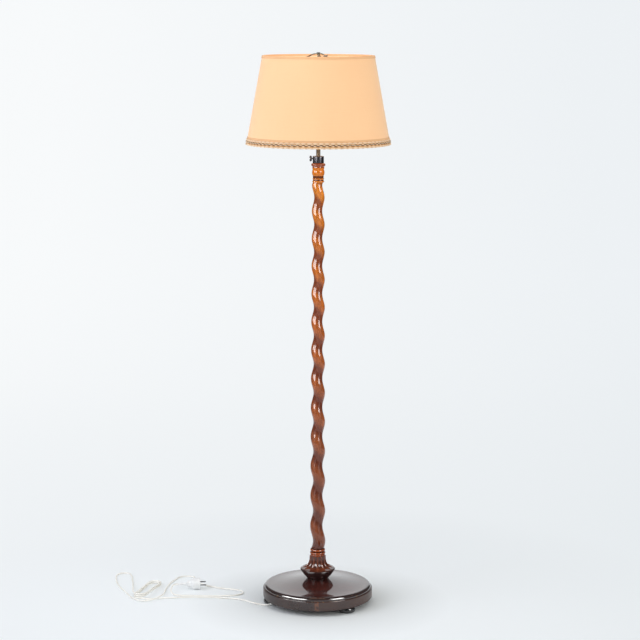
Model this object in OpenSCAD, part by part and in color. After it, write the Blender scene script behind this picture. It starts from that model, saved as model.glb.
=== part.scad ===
// Standard lamp with a barley-twist column, a carved knop on a round domed base, and a cone shade.
// Millimetres. The origin is the middle of the base, on the floor. +Z is up and -Y is the front.

/* [Base] */
// Radius of the base at its upright side
base_r = 170.5; // [160:0.5:185]
// Height of the base from its underside to the edge of its domed top
base_t = 41.5; // [40:0.5:50]
// Rise of the domed top above its edge
dome_rise = 7; // [5:0.5:12]
// Width of the moulding between the side and the domed top
edge_w = 15.5; // [10:0.5:20]
// Height of the moulding's quarter round
edge_h = 9; // [6:0.5:11]
// Height of the little step under the quarter round
edge_step = 2; // [1:0.25:3]
// Bevel under the side
under_bevel = 5; // [3:0.5:8]
// Radius of the recess under the base
recess_r = 34; // [31:0.5:45]
// Height of the recess under the base
recess_h = 28.5; // [27.5:0.5:29.5]
// Wood left between the recess and the knop's socket
base_web = 8; // [6:0.5:9]

/* [Feet] */
// Radius of a bun foot
foot_r = 27; // [22:0.5:30]
// Height of a bun foot
foot_h = 17.5; // [16:0.5:20]
// Radius of the circle that the feet stand on
foot_circle_r = 144; // [125:0.5:144]
// Direction of the first foot, in degrees from +X
foot_turn = -171; // [-180:0.5:180]
// Number of feet
foot_count = 3; // [3:1:4]

/* [Knop] */
// Height of the carved knop above the dome
knop_h = 83; // [74:0.5:92]
// Largest radius of the knop
knop_r = 54.5; // [48:0.5:58]
// Radius of the knop where it stands on the base
knop_foot_r = 31.5; // [26:0.5:36]
// Radius of the knop's neck at its top
knop_neck_r = 25; // [22:0.5:27]
// Number of gouged flutes round the neck
flutes = 12; // [8:1:14]
// Depth of a flute
flute_depth = 3; // [1:0.25:4]
// Radius of the tenon that seats the knop in the base
knop_tenon_r = 18; // [15:0.5:24]

/* [Twist] */
// Length of the twisted part of the column
twist_h = 1153; // [900:1:1200]
// Radius of the twisted rib's section at the foot of the column
twist_r_low = 19.8; // [18.5:0.1:20.5]
// Radius of the twisted rib's section at the top of the column
twist_r_top = 15.7; // [15.3:0.1:17]
// How far the section winds off the axis at the foot
twist_off_low = 4.5; // [3:0.1:5.5]
// How far the section winds off the axis at the top
twist_off_top = 3.6; // [2.5:0.1:4]
// Length of one turn of the twist at the foot
pitch_low = 97.8; // [80:0.2:130]
// Length of one turn of the twist at the top
pitch_top = 81.6; // [70:0.2:100]
// Height of the turned beads under the twist
bead_h = 15; // [12:0.5:18]
// Radius of the large bead under the twist
bead_r = 24.2; // [23:0.1:26]
// Radius of the tenon under the beads
foot_tenon_r = 14; // [12:0.5:16]
// Length of the tenons at both ends of the column
tenon_h = 12; // [8:0.5:16]
// Radius of the tenon on top of the column
top_tenon_r = 11.4; // [10.6:0.1:11.8]

/* [Capital] */
// Height of the turned capital
capital_h = 58.3; // [50:0.1:66]
// Radius of the capital's top roll
roll_r = 21.7; // [20:0.1:24]
// Radius of the capital's barrel
barrel_r = 19.1; // [18:0.1:20]
// Radius of the capital's grooves
groove_r = 16.4; // [15.5:0.1:17]

/* [Stem] */
// Radius of the sliding brass stem
stem_r = 6.35; // [6:0.05:6.6]
// Wall of the brass stem
stem_wall = 1.2; // [0.9:0.1:1.4]
// Length of the stem below the collar's top, at rest
stem_inside = 256; // [250:1:330]
// Length of the stem above the collar's top, at rest
stem_above = 67; // [62:1:120]
// Radius of the tie tube that holds the column together
tie_r = 8; // [7.8:0.05:8.2]
// Wall of the tie tube
tie_wall = 1.1; // [1:0.05:1.2]
// Radial clearance of the sliding and turning fits
run_gap = 0.05; // [0.02:0.01:0.09]
// Play between wood and the tie tube
wood_gap = 0.2; // [0.1:0.05:0.4]
// Height of the stop ring on the stem's lower end
stop_h = 9.5; // [8:0.5:14]

/* [Clamp] */
// Radius of the clamp collar
collar_r = 17; // [15:0.5:20]
// Height of the clamp collar
collar_h = 21; // [18:0.5:26]
// Wall of the guide bush in the collar
bush_wall = 2.1; // [1.6:0.1:3]
// Length of the guide bush
bush_h = 12; // [10:0.5:14]
// Radius of the thumbscrew's shank
screw_r = 2.5; // [2:0.1:3]
// Length of the thumbscrew from its tip to the end of its wings
screw_l = 23.2; // [20:0.2:30]
// Height of the thumbscrew's wings, from tip to tip
wing_h = 21; // [14:0.5:26]
// Thickness of the wings
wing_t = 3; // [2:0.25:4]
// Radius of the brass pad under the thumbscrew's tip
pad_r = 2.3; // [1.8:0.05:2.4]
// Thickness of the pad
pad_t = 1.65; // [1.2:0.05:1.8]

/* [Lampholder] */
// Radius of the lampholder's shell
shell_r = 20.5; // [19:0.5:24]
// Height of the lampholder's shell
shell_h = 40; // [34:0.5:46]
// Wall of the lampholder's shell and cap
shell_wall = 1; // [0.8:0.1:1.5]
// Height of the lampholder's cap
cap_h = 16; // [13:0.5:20]
// Radius of the bulb's screw cap
screw_cap_r = 13.1; // [12.9:0.05:13.2]
// Radius of the bulb's glass
bulb_r = 30; // [26:0.5:32]
// Height of the bulb's glass above the lampholder
bulb_h = 84; // [80:1:92]
// Radius of the switch key's shaft
key_shaft_r = 2.2; // [1.8:0.1:2.6]
// Reach of the switch key beyond the shell
key_reach = 15; // [12:0.5:20]

/* [Harp] */
// Radius of the harp's wire
harp_wire_r = 1.7; // [1.4:0.1:2]
// Half the width of the harp at its widest
harp_half_w = 58; // [50:0.5:62]
// Half the width of the saddle that carries the harp
saddle_half_w = 27; // [26:0.5:32]
// Thickness of the saddle plate
saddle_t = 2; // [1.5:0.1:3]

/* [Shade] */
// Radius of the fabric at its top rim
shade_top_r = 169.5; // [140:0.1:180]
// Radius of the fabric at its bottom rim
shade_low_r = 218.2; // [190:0.1:230]
// Height of the shade
shade_h = 268; // [230:1:290]
// Height of the shade's top rim above the stem's top
shade_over_stem = 236; // [232:0.5:240]
// Thickness of the fabric on its card
fabric_t = 1; // [0.8:0.1:1.4]
// Thickness of the lining
lining_t = 0.5; // [0.4:0.1:0.8]
// Radius of the shade's wire rings
ring_wire_r = 2; // [1.6:0.1:2.5]
// Number of the spider's arms
arm_count = 3; // [3:1:4]
// Direction of the spider's first arm, in degrees from +X
arm_turn = 80; // [60:1:100]
// Rise of the spider's hub above its arms
hub_rise = 10; // [6:0.5:12]
// Radius of the spider's hub
hub_r = 12; // [10:0.5:15]
// Height of the braid on the bottom rim
braid_h = 19; // [14:0.5:24]
// How far the braid stands proud of the fabric
braid_proud = 3.6; // [2:0.1:4.5]
// Height of the plain band above the braid
band_h = 6; // [4:0.5:9]
// Height of the top rim's binding
binding_h = 8; // [6:0.5:12]

/* [Cord] */
// Diameter of the mains cord
cord_d = 5.2; // [4.8:0.1:5.4]
// Number of loops in the hank
hank_loops = 2; // [2:1:4]
// Half the length of the hank's straight runs
hank_run = 66; // [50:1:80]
// Radius of the hank's round ends
hank_end_r = 19; // [17:0.5:24]
// Step from one loop of the hank to the next on top of it
hank_step = 6; // [5.8:0.1:6.5]
// Radius of the plug
plug_r = 18.5; // [17:0.25:20]
// Length of the plug
plug_l = 41; // [36:0.5:48]
// Radius of a plug pin
pin_r = 2.4; // [2:0.1:2.4]
// Length of a plug pin
pin_l = 19; // [17:0.5:19]
// Distance between the plug pins
pin_pitch = 19; // [18:0.5:19]
// Length of the plug's strain relief
relief_l = 28; // [22:0.5:36]

/* [Hidden] */
$fn = 96;
eps = 0.01;
seat = 0.1; // space left round a tenon or a screw
rest_gap = 0.3; // space left between pieces that move apart
// Heights above the floor
under_z = foot_h;
edge_z = under_z + base_t;
dome_z = edge_z + dome_rise;
recess_z = under_z + recess_h;
socket_z = recess_z + base_web;
neck_z = dome_z + knop_h;
twist_z = neck_z + bead_h;
twist_top_z = twist_z + twist_h;
capital_z = twist_top_z + capital_h;
collar_z = capital_z + collar_h;
stem_low_z = collar_z - stem_inside;
stem_top_z = collar_z + stem_above;
rim_z = stem_top_z + shade_over_stem;
hem_z = rim_z - shade_h;
// Tie tube, its nut and its washer
tie_bore_r = tie_r - tie_wall;
wood_bore_r = tie_r + wood_gap;
washer_t = 2;
washer_r = 20;
nut_t = 8;
nut_af = 24;
tie_end = 2; // thread that shows past the nut
tie_low_z = recess_z - washer_t - nut_t - tie_end;
collar_thread = 6.6; // how far the tie tube screws into the collar
tie_top_z = capital_z + collar_thread;
// Bush that lines the tie tube's lower end
lead_bush_t = 2.5;
lead_bush_in = 9;
lead_hole_r = cord_d / 2 + seat;
lead_exit_z = tie_low_z - lead_bush_t;
// Clamp
bush_r = stem_r + run_gap + bush_wall;
bush_z = tie_top_z + 1;
screw_z = collar_z - 7.6;
pad_x = stem_r + rest_gap;
tip_x = pad_x + pad_t + rest_gap;
side_hole_r = screw_r + run_gap;
// Stop ring on the stem's necked end
neck_r = stem_r - 0.45;
stop_r = tie_bore_r - run_gap;
end_flange_t = 2;
// Lampholder and bulb
saddle_z = stem_top_z - 15;
lock_h = 5;
holder_z = saddle_z + saddle_t;
shell_z = holder_z + cap_h;
mouth_z = shell_z + shell_h;
core_r = shell_r - shell_wall - 0.3;
core_top_z = mouth_z - 2;
cap_floor_z = shell_z + 14;
bulb_cap_h = 23;
key_z = shell_z + 7;
key_depth = 12; // how far the key's shaft goes into the core
// Harp and spider
arm_r = 1.8;
arm_z = rim_z - 6.8;
hub_t = 3;
hub_z = arm_z + hub_rise;
boss_r = 4;
stud_r = 3.1;
harp_top_z = hub_z - 10;
finial_r = 6.5;
finial_h = 2.4;
stud_h = hub_t + seat + finial_h - 0.6;
// Shade
shade_slope = (shade_low_r - shade_top_r) / shade_h;
ring_drop = ring_wire_r + 0.8;
ring_r = shade_top_r + shade_slope * ring_drop - fabric_t - lining_t - seat * 2 - ring_wire_r;
low_ring_r = shade_low_r - shade_slope * ring_drop - fabric_t - lining_t - seat * 2 - ring_wire_r;
// Cord: the floor's own height for its centre line, and its routes, chosen by hand
cord_r = cord_d / 2;
floor_z = cord_r + 0.05;
slight_bend = 27; // degrees of turn at a point that need no step beside it
clip_point = 6; // place of the underside clip in the lead's route
lead_route = [
    [0, 0, lead_exit_z], [-0.6, -0.2, 24.5], [-5, -1.8, 15], [-13.5, -4.8, 8.8], [-26, -9.2, 8],
    [-68, -26, 12.9], [-96, -38, 12.9], [-124, -52, 11.8], [-158, -56, 4.2], [-196, -34, floor_z],
    [-240, 4, floor_z], [-306, 24, floor_z], [-400, 29, floor_z], [-480, 20, floor_z],
    [-532, 11, floor_z]
];
tail_route = [
    [-584, 55, 13], [-590, 110, 7], [-600, 205, floor_z], [-612, 276, floor_z],
    [-618.5, 291.5, floor_z], [-634, 298, floor_z], [-649.5, 291.5, floor_z], [-656, 276, floor_z],
    [-655, 225, floor_z], [-640, 155, floor_z], [-612, 85, floor_z], [-580, 15, floor_z],
    [-550, -15, 4], [-519, -12, 7], [-497, 16, 9.2], [-489, 50, 5.5], [-486, 110, floor_z],
    [-479, 168, floor_z], [-463, 222, floor_z], [-442, 260, floor_z], [-409, 258, floor_z],
    [-394, 212, floor_z], [-362, 162, floor_z], [-315, 130, floor_z], [-268, 113, floor_z],
    [-243, 97, floor_z], [-238, 72, floor_z], [-258, 52, floor_z], [-300, 43, floor_z],
    [-400, 45, floor_z], [-436, 47, floor_z], [-457, 57, 4], [-466, 75, 9], [-465, 95, 14],
    [-463, 106.5, 17], [-455.5, 115, 18.4]
];
hank_at = [-542, 104];
hank_turn = 75; // direction of the hank's runs
plug_at = [-417.5, 122, plug_r + 0.1]; // back of the plug
plug_turn = 6;
plug_roll = 17;

// ---- Curves and tubes ----

// Direction of a smooth curve at one of its points: the nearer neighbour counts for more
function slope_at(pts, i) =
    let (
        before = i > 0 ? norm(pts[i] - pts[i - 1]) : 1,
        after = i < len(pts) - 1 ? norm(pts[i + 1] - pts[i]) : 1
    )
    i == 0 ? (pts[1] - pts[0]) / after :
    i == len(pts) - 1 ? (pts[i] - pts[i - 1]) / before :
    ((pts[i] - pts[i - 1]) * after / before + (pts[i + 1] - pts[i]) * before / after) / (before + after);

// Point on the curve between point i and the next, at t from 0 to 1
function curve(pts, i, t) =
    let (
        span = norm(pts[i + 1] - pts[i]),
        from = slope_at(pts, i) * span,
        to = slope_at(pts, i + 1) * span,
        far = (3 - 2 * t) * t * t
    )
    pts[i] * (1 - far) + pts[i + 1] * far + from * t * (1 - t) * (1 - t) - to * t * t * (1 - t);

// Smooth curve through all the points, with so many steps between two of them
function smooth(pts, steps) =
    [for (i = [0 : len(pts) - 2], k = [0 : steps - 1]) curve(pts, i, k / steps), pts[len(pts) - 1]];

// The same curve with steps only next to bends, for a cord that lies on the floor
function bend_at(pts, i) =
    i <= 0 || i >= len(pts) - 1 ? 0 :
    acos(min(1, unit(pts[i] - pts[i - 1]) * unit(pts[i + 1] - pts[i])));
function laid(pts) =
    [for (i = [0 : len(pts) - 2])
        let (steps = max(bend_at(pts, i), bend_at(pts, i + 1)) > slight_bend ? 2 : 1)
        for (k = [0 : steps - 1])
            let (p = curve(pts, i, k / steps)) [p[0], p[1], max(p[2], floor_z)],
        pts[len(pts) - 1]];

function unit(v) = v / norm(v);
function heading(pts, i) = unit(pts[min(i + 1, len(pts) - 1)] - pts[max(i - 1, 0)]);
function square_to(v, along) = unit(v - along * (v * along));

// A side direction at each point, carried along so that the tube doesn't twist
function sides_of(pts, first) = [
    for (i = 0, s = square_to(first, heading(pts, 0)); i < len(pts);
         i = i + 1, s = i < len(pts) ? square_to(s, heading(pts, i)) : s) s
];

// Tube along the points, with flat ends
module tube_along(pts, r, sides, first = [0, 1, 0]) {
    across = sides_of(pts, first);
    rings = [for (i = [0 : len(pts) - 1], k = [0 : sides - 1])
        let (a = 360 * k / sides, up = cross(heading(pts, i), across[i]))
        pts[i] + r * (cos(a) * across[i] + sin(a) * up)];
    skin(rings, len(pts), sides);
}

// Closed skin over rings of points, each ring turning the same way about its heading
module skin(points, rings, sides) {
    walls = [for (i = [0 : rings - 2], k = [0 : sides - 1])
        let (a = i * sides + k, b = i * sides + (k + 1) % sides)
        each [[a, a + sides, b], [b, a + sides, b + sides]]];
    low = [for (k = [1 : sides - 2]) [0, k, k + 1]];
    end = (rings - 1) * sides;
    high = [for (k = [1 : sides - 2]) [end, end + k + 1, end + k]];
    polyhedron(points, concat(walls, low, high), convexity = 10);
}

module ring_at(z, r, wire) {
    translate([0, 0, z]) rotate_extrude() translate([r, 0]) circle(wire, $fn = 24);
}

module pipe(z, h, r, bore) {
    translate([0, 0, z]) difference() {
        cylinder(h = h, r = r);
        translate([0, 0, -1]) cylinder(h = h + 2, r = bore);
    }
}

module bore(z, h, r) {
    translate([0, 0, z]) cylinder(h = h, r = r);
}

// ---- Base and feet ----

module at_feet() {
    for (i = [0 : foot_count - 1])
        rotate(foot_turn + i * 360 / foot_count) translate([foot_circle_r, 0]) children();
}

module base_outline() {
    flat_r = base_r - edge_w;
    step_z = edge_z - edge_h - edge_step;
    dome_r = (flat_r * flat_r + dome_rise * dome_rise) / (2 * dome_rise);
    dome_a = asin(flat_r / dome_r);
    round_w = edge_w - edge_step * 2;
    polygon(concat(
        [[0, under_z], [base_r - under_bevel, under_z]],
        [for (a = [0 : 15 : 90]) [
            base_r - under_bevel * 0.7 + under_bevel * 0.7 * sin(a),
            under_z + under_bevel - under_bevel * cos(a)]],
        [for (a = [0 : 15 : 90]) [
            base_r - edge_step + edge_step * cos(a),
            step_z - edge_step + edge_step * sin(a)]],
        [for (a = [0 : 10 : 90]) [
            flat_r + round_w * cos(a),
            step_z + edge_step + edge_h * sin(a)]],
        [for (i = [1 : 12]) let (a = dome_a * (1 - i / 12))
            [dome_r * sin(a), dome_z - dome_r * (1 - cos(a))]]
    ));
}

foot_screw_r = 2;
foot_head_r = 4.5;
foot_head_t = 2.5;
foot_sink = 6; // how deep the screw's head sits in the foot
foot_screw_l = 24;

module base_disc() {
    color("#3a1c18") difference() {
        rotate_extrude($fn = 180) base_outline();
        bore(under_z - 1, recess_h + 1, recess_r);
        bore(recess_z - 1, base_web + 2, wood_bore_r);
        bore(socket_z, dome_z, knop_tenon_r + seat);
        at_feet() bore(under_z - 1, foot_sink - foot_h + foot_screw_l + 2, foot_screw_r + seat);
        at_clip() bore(under_z - 1, clip_screw_l + 1, clip_screw_r + seat);
    }
}

module foot_outline() {
    flat_r = foot_r * 0.72;
    polygon(concat(
        [[0, 0], [flat_r, 0]],
        [for (a = [-75 : 15 : 75]) [
            flat_r + (foot_r - flat_r) * cos(a), foot_h / 2 + foot_h / 2 * sin(a)]],
        [[flat_r, foot_h], [0, foot_h]]
    ));
}

module bun_feet() {
    color("#0b0b0d") at_feet() difference() {
        rotate_extrude() foot_outline();
        bore(-1, foot_sink + 1, foot_head_r + 1);
        bore(0, foot_h + 1, foot_screw_r + seat);
    }
}

module foot_screws() {
    color("silver") at_feet() {
        bore(foot_sink - foot_head_t, foot_head_t, foot_head_r);
        bore(foot_sink - eps, foot_screw_l, foot_screw_r);
    }
}

// ---- Carved knop ----

// Outline of the knop, as radius and height above the dome, from its foot to its neck
knop_wide_z = knop_h * 0.45;
knop_points = [
    [knop_foot_r, 0],
    [knop_foot_r + 1, knop_h * 0.07],
    [knop_foot_r + (knop_r - knop_foot_r) * 0.39, knop_h * 0.19],
    [knop_foot_r + (knop_r - knop_foot_r) * 0.78, knop_h * 0.31],
    [knop_r - 0.3, knop_h * 0.4],
    [knop_r, knop_wide_z],
    [knop_r - 4, knop_h * 0.515],
    [knop_neck_r + (knop_r - knop_neck_r) * 0.64, knop_h * 0.57],
    [knop_neck_r + (knop_r - knop_neck_r) * 0.38, knop_h * 0.63],
    [knop_neck_r + (knop_r - knop_neck_r) * 0.2, knop_h * 0.7],
    [knop_neck_r + 2, knop_h * 0.81],
    [knop_neck_r, knop_h]
];
knop_line = smooth(knop_points, 2);
knop_sides = flutes * 6;

// Share of the flutes' depth at a height: none on the shoulder's rim, all of it on the neck
function flute_fade(z) = let (t = max(0, min(1, (z / knop_h - 0.49) / 0.11))) t * t * (3 - 2 * t);

// Share of a flute's depth at an angle: sharp ridges between rounded hollows
function flute_shape(a) = let (t = abs(sin(a * flutes / 2))) 1 - pow(1 - t, 2);

module carved_knop() {
    rows = len(knop_line);
    points = [for (i = [0 : rows - 1], k = [0 : knop_sides - 1])
        let (
            a = 360 * k / knop_sides,
            p = knop_line[i],
            along = heading(knop_line, i),
            d = flute_depth * flute_fade(p[1]) * flute_shape(a),
            r = p[0] - d * along[1],
            z = dome_z + p[1] + d * along[0] * (i == rows - 1 ? 0 : 1)
        )
        [r * cos(a), r * sin(a), z]];
    color("#3b1a10") difference() {
        union() {
            skin(points, rows, knop_sides);
            bore(socket_z + rest_gap, dome_z - socket_z, knop_tenon_r);
        }
        bore(socket_z, neck_z, wood_bore_r);
        bore(neck_z - tenon_h - rest_gap, tenon_h + 1, foot_tenon_r + seat);
    }
}

// ---- Twisted column and capital ----

// Turns of the twist below a height, counted from its foot, where the pitch changes steadily
twist_rate = (pitch_top - pitch_low) / twist_h;
function turns_at(h) = abs(twist_rate) < 0.0001 ? h / pitch_low : ln(1 + twist_rate * h / pitch_low) / twist_rate;
twist_turns = turns_at(twist_h);
rings_per_turn = 14;
twist_rings = round(twist_turns * rings_per_turn);
twist_sides = 20;
twist_start = 154; // direction of the rib at the top of the column, in degrees from +X

// Share of the winding at a height: the rib runs out into the beads at both ends
function twist_fade(h) = min(1, (h + 4) / 14, (twist_h - h + 2) / 10);

module twist_body() {
    points = [for (i = [0 : twist_rings], k = [0 : twist_sides - 1])
        let (
            h = twist_h * i / twist_rings,
            t = h / twist_h,
            r = twist_r_low + (twist_r_top - twist_r_low) * t,
            off = (twist_off_low + (twist_off_top - twist_off_low) * t) * twist_fade(h),
            rib = twist_start + 360 * (twist_turns - turns_at(h)),
            a = rib + 360 * k / twist_sides
        )
        [off * cos(rib) + r * cos(a), off * sin(rib) + r * sin(a), twist_z + h]];
    skin(points, twist_rings + 1, twist_sides);
}

module bead_outline() {
    groove = bead_r - 3.4;
    polygon(concat(
        [[0, neck_z], [bead_r - 1.5, neck_z]],
        [for (a = [-60 : 20 : 60]) [groove - 0.4 + 2.4 * cos(a), neck_z + 2.6 + 2.4 * sin(a)]],
        [for (a = [-75 : 15 : 75]) [groove + 3.4 * cos(a), neck_z + bead_h * 0.57 + 3.4 * sin(a)]],
        [[groove - 0.6, twist_z - 2.4]],
        [for (a = [-75 : 25 : 75]) [groove - 0.8 + 3.4 * cos(a), twist_z + 3 + 3.8 * sin(a)]],
        [[groove - 2, twist_z + 8.4], [0, twist_z + 8.4]]
    ));
}

module twist_column() {
    color("#8a3f1c") difference() {
        union() {
            twist_body();
            rotate_extrude() bead_outline();
            bore(neck_z - tenon_h, tenon_h + 1, foot_tenon_r);
            bore(twist_top_z - 1, tenon_h + 1, top_tenon_r);
        }
        bore(neck_z - tenon_h - 1, twist_h + bead_h + tenon_h * 2 + 2, wood_bore_r);
    }
}

module capital_outline() {
    h = capital_h;
    z = twist_top_z;
    shoulder_r = groove_r + 1.8;
    polygon(concat(
        [[0, z], [shoulder_r - 0.8, z], [shoulder_r, z + 1.2], [shoulder_r - 0.4, z + 3], [groove_r, z + 5.2]],
        [for (a = [-75 : 25 : 75]) [groove_r - 1 + 2.2 * cos(a), z + h * 0.175 + 2.4 * sin(a)]],
        [[groove_r, z + h * 0.26], [groove_r - 0.2, z + h * 0.3]],
        [for (a = [-70 : 20 : 70]) [
            barrel_r - 3 + 3 * cos(a), z + h * 0.505 + h * 0.155 * sin(a)]],
        [[barrel_r - 1, z + h * 0.7], [barrel_r - 0.7, z + h * 0.76]],
        [for (a = [-75 : 15 : 90]) [roll_r - 5.4 + 5.4 * cos(a), z + h - 5.4 + 5.4 * sin(a)]],
        [[0, z + h]]
    ));
}

module column_capital() {
    color("#9a4a20") difference() {
        rotate_extrude() capital_outline();
        bore(twist_top_z - 1, capital_h + 2, wood_bore_r);
        bore(twist_top_z - 1, tenon_h + 1 + rest_gap, top_tenon_r + seat);
    }
}

// ---- Tie tube and its fixings under the base ----

module tie_tube() {
    color("silver") pipe(tie_low_z, tie_top_z - tie_low_z, tie_r, tie_bore_r);
}

module tie_washer() {
    color("silver") pipe(recess_z - washer_t, washer_t, washer_r, tie_r);
}

module tie_nut() {
    color("goldenrod") translate([0, 0, tie_low_z + tie_end]) difference() {
        cylinder(h = nut_t, r = nut_af / sqrt(3), $fn = 6);
        translate([0, 0, -1]) cylinder(h = nut_t + 2, r = tie_r);
    }
}

module lead_bush() {
    color("white") difference() {
        union() {
            bore(lead_exit_z, lead_bush_t, tie_r);
            bore(tie_low_z - eps, lead_bush_in, tie_bore_r);
        }
        bore(lead_exit_z - 1, lead_bush_t + lead_bush_in + 2, lead_hole_r);
    }
}

clip_w = 8; // length of the clip along the cord
clip_t = 1.4;
clip_ear = 11;
clip_screw_r = 1.6;
clip_head_r = 3;
clip_head_t = 1.8;
clip_screw_l = 11;
clip_at = lead_route[clip_point];
clip_way = lead_route[clip_point + 1] - lead_route[clip_point - 1];

// Places its children at the clip's screw, with +X along the cord
module at_clip() {
    translate([clip_at[0], clip_at[1]]) rotate(atan2(clip_way[1], clip_way[0]))
        translate([0, cord_r + clip_t + clip_ear / 2]) children();
}

module lead_clip() {
    ear_y = cord_r + clip_t + clip_ear / 2;
    color("white") at_clip() difference() {
        translate([0, -ear_y, clip_at[2]]) rotate([90, 0, 90]) linear_extrude(clip_w, center = true)
            difference() {
                union() {
                    circle(cord_r + clip_t, $fn = 48);
                    translate([-cord_r - clip_t, 0]) square([2 * (cord_r + clip_t), under_z - clip_at[2]]);
                    translate([0, under_z - clip_at[2] - clip_t * 1.2])
                        square([cord_r + clip_t + clip_ear, clip_t * 1.2]);
                }
                circle(cord_r + seat, $fn = 48);
            }
        bore(0, under_z + 1, clip_screw_r + seat);
    }
}

module clip_screw() {
    head_z = under_z - clip_t * 1.2 - clip_head_t;
    color("silver") at_clip() {
        bore(head_z, clip_head_t, clip_head_r);
        bore(head_z, clip_head_t + clip_screw_l, clip_screw_r);
    }
}

// ---- Clamp at the top of the column ----

module along_screw(x) {
    translate([-x, 0, screw_z]) rotate([0, -90, 0]) children();
}

module collar_outline() {
    fillet = 1.6;
    polygon(concat(
        [[0, capital_z], [collar_r - fillet, capital_z]],
        [for (a = [-90 : 15 : 0]) [collar_r - fillet + fillet * cos(a), capital_z + fillet + fillet * sin(a)]],
        [for (a = [0 : 15 : 90]) [collar_r - fillet + fillet * cos(a), collar_z - fillet + fillet * sin(a)]],
        [[0, collar_z]]
    ));
}

module clamp_collar() {
    color("#1a1a1d") difference() {
        rotate_extrude() collar_outline();
        bore(capital_z - 1, collar_h + 2, stem_r + 0.6);
        bore(capital_z - 1, collar_thread + 1, tie_r);
        bore(bush_z, bush_h, bush_r);
        along_screw(0) cylinder(h = collar_r + 2, r = side_hole_r);
    }
}

module guide_bush() {
    color("goldenrod") difference() {
        pipe(bush_z, bush_h, bush_r, stem_r + run_gap);
        along_screw(0) cylinder(h = bush_r + 2, r = side_hole_r);
    }
}

module clamp_pad() {
    color("goldenrod") along_screw(pad_x) cylinder(h = pad_t, r = pad_r);
}

module wing_outline() {
    far = screw_l;
    near = screw_l - 10;
    polygon([
        [near, -screw_r - 1.2], [near + 3.5, -wing_h * 0.2], [far - 4, -wing_h * 0.46], [far - 1, -wing_h * 0.5],
        [far, -wing_h * 0.44], [far - 1.6, 0], [far, wing_h * 0.44], [far - 1, wing_h * 0.5],
        [far - 4, wing_h * 0.46], [near + 3.5, wing_h * 0.2], [near, screw_r + 1.2]
    ]);
}

module thumbscrew() {
    color("#4a4a4d") along_screw(tip_x) {
        cylinder(h = screw_l - 5, r = screw_r);
        translate([0, 0, screw_l - 12]) cylinder(h = 4, r = screw_r + 1.7);
        rotate([90, 0, 0]) rotate(90) translate([0, 0, -wing_t / 2]) linear_extrude(wing_t) wing_outline();
    }
}

// ---- Sliding stem ----

module stem_tube() {
    color("#b58a3c") difference() {
        union() {
            bore(stem_low_z, stop_h + 2 * rest_gap, neck_r);
            bore(stem_low_z + stop_h + 2 * rest_gap, stem_inside + stem_above - stop_h - 2 * rest_gap, stem_r);
        }
        bore(stem_low_z - 1, stem_inside + stem_above + 2, stem_r - stem_wall);
    }
}

module stop_ring() {
    color("#c9a24e") pipe(stem_low_z + rest_gap, stop_h, stop_r, neck_r + run_gap);
}

module stem_end_bush() {
    plug_h = 7;
    color("white") difference() {
        union() {
            bore(stem_low_z - end_flange_t, end_flange_t, stem_r + 0.25);
            bore(stem_low_z - eps, plug_h, stem_r - stem_wall);
        }
        bore(stem_low_z - end_flange_t - 1, plug_h + end_flange_t + 2, lead_hole_r);
    }
}

module flex_in_stem() {
    color("white") bore(stem_low_z, cap_floor_z - 4 - stem_low_z, cord_r);
}

module flex_in_column() {
    color("white") bore(lead_exit_z, stem_low_z - lead_exit_z, cord_r);
}

// ---- Lampholder, bulb and harp ----

module stem_locknut() {
    color("#b58a3c") translate([0, 0, saddle_z - lock_h]) difference() {
        cylinder(h = lock_h, r = (stem_r + 4) * 2 / sqrt(3), $fn = 6);
        translate([0, 0, -1]) cylinder(h = lock_h + 2, r = stem_r);
    }
}

tab_h = 9;
module harp_saddle() {
    strip_w = 18;
    color("#b58a3c") difference() {
        union() {
            translate([0, 0, saddle_z + saddle_t / 2])
                cube([saddle_half_w * 2 + saddle_t, strip_w, saddle_t], center = true);
            for (s = [-1, 1]) translate([s * saddle_half_w, 0, saddle_z])
                cylinder(h = tab_h, r = harp_wire_r + 1.5);
        }
        bore(saddle_z - 1, saddle_t + 2, stem_r);
        for (s = [-1, 1]) translate([s * saddle_half_w, 0, saddle_z + saddle_t])
            cylinder(h = tab_h, r = harp_wire_r + seat);
    }
}

// Half of the harp's wire, from its leg in the saddle to the middle of its top
harp_half = [
    [saddle_half_w, 0, saddle_z + saddle_t], [saddle_half_w, 0, saddle_z + tab_h],
    [saddle_half_w, 0, saddle_z + tab_h + 7],
    [saddle_half_w + (harp_half_w - saddle_half_w) * 0.72, 0, saddle_z + 62],
    [harp_half_w, 0, saddle_z + 112],
    [harp_half_w - 2, 0, saddle_z + 160],
    [harp_half_w - 14, 0, harp_top_z - 34],
    [harp_half_w - 32, 0, harp_top_z - 9],
    [13, 0, harp_top_z - 1.5], [0, 0, harp_top_z]
];
harp_route = smooth(concat(
    harp_half, [for (i = [len(harp_half) - 2 : -1 : 0]) [-harp_half[i][0], 0, harp_half[i][2]]]
), 3);

module shade_harp() {
    color("#b58a3c") {
        tube_along(harp_route, harp_wire_r, 8);
        bore(harp_top_z - 2.4, hub_z - seat - harp_top_z + 2.4, boss_r);
        bore(hub_z - 1, stud_h + 1, stud_r);
    }
}

module holder_cap() {
    color("#b58a3c") difference() {
        rotate_extrude() polygon(concat(
            [[stem_r, holder_z], [shell_r * 0.5, holder_z]],
            [for (a = [0 : 15 : 90]) [
                shell_r * 0.5 + shell_r * 0.5 * sin(a), shell_z - (cap_h - 3) * cos(a)]],
            [[shell_r - shell_wall, shell_z]],
            [for (a = [90 : -15 : 0]) [
                shell_r * 0.5 - shell_wall + shell_r * 0.5 * sin(a), shell_z - (cap_h - 3 - shell_wall) * cos(a)]],
            [[stem_r, holder_z + 3 + shell_wall]]
        ));
    }
}

module key_way(r, from, to) {
    translate([0, -from, key_z]) rotate([90, 0, 0]) cylinder(h = to - from, r = r);
}

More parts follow.
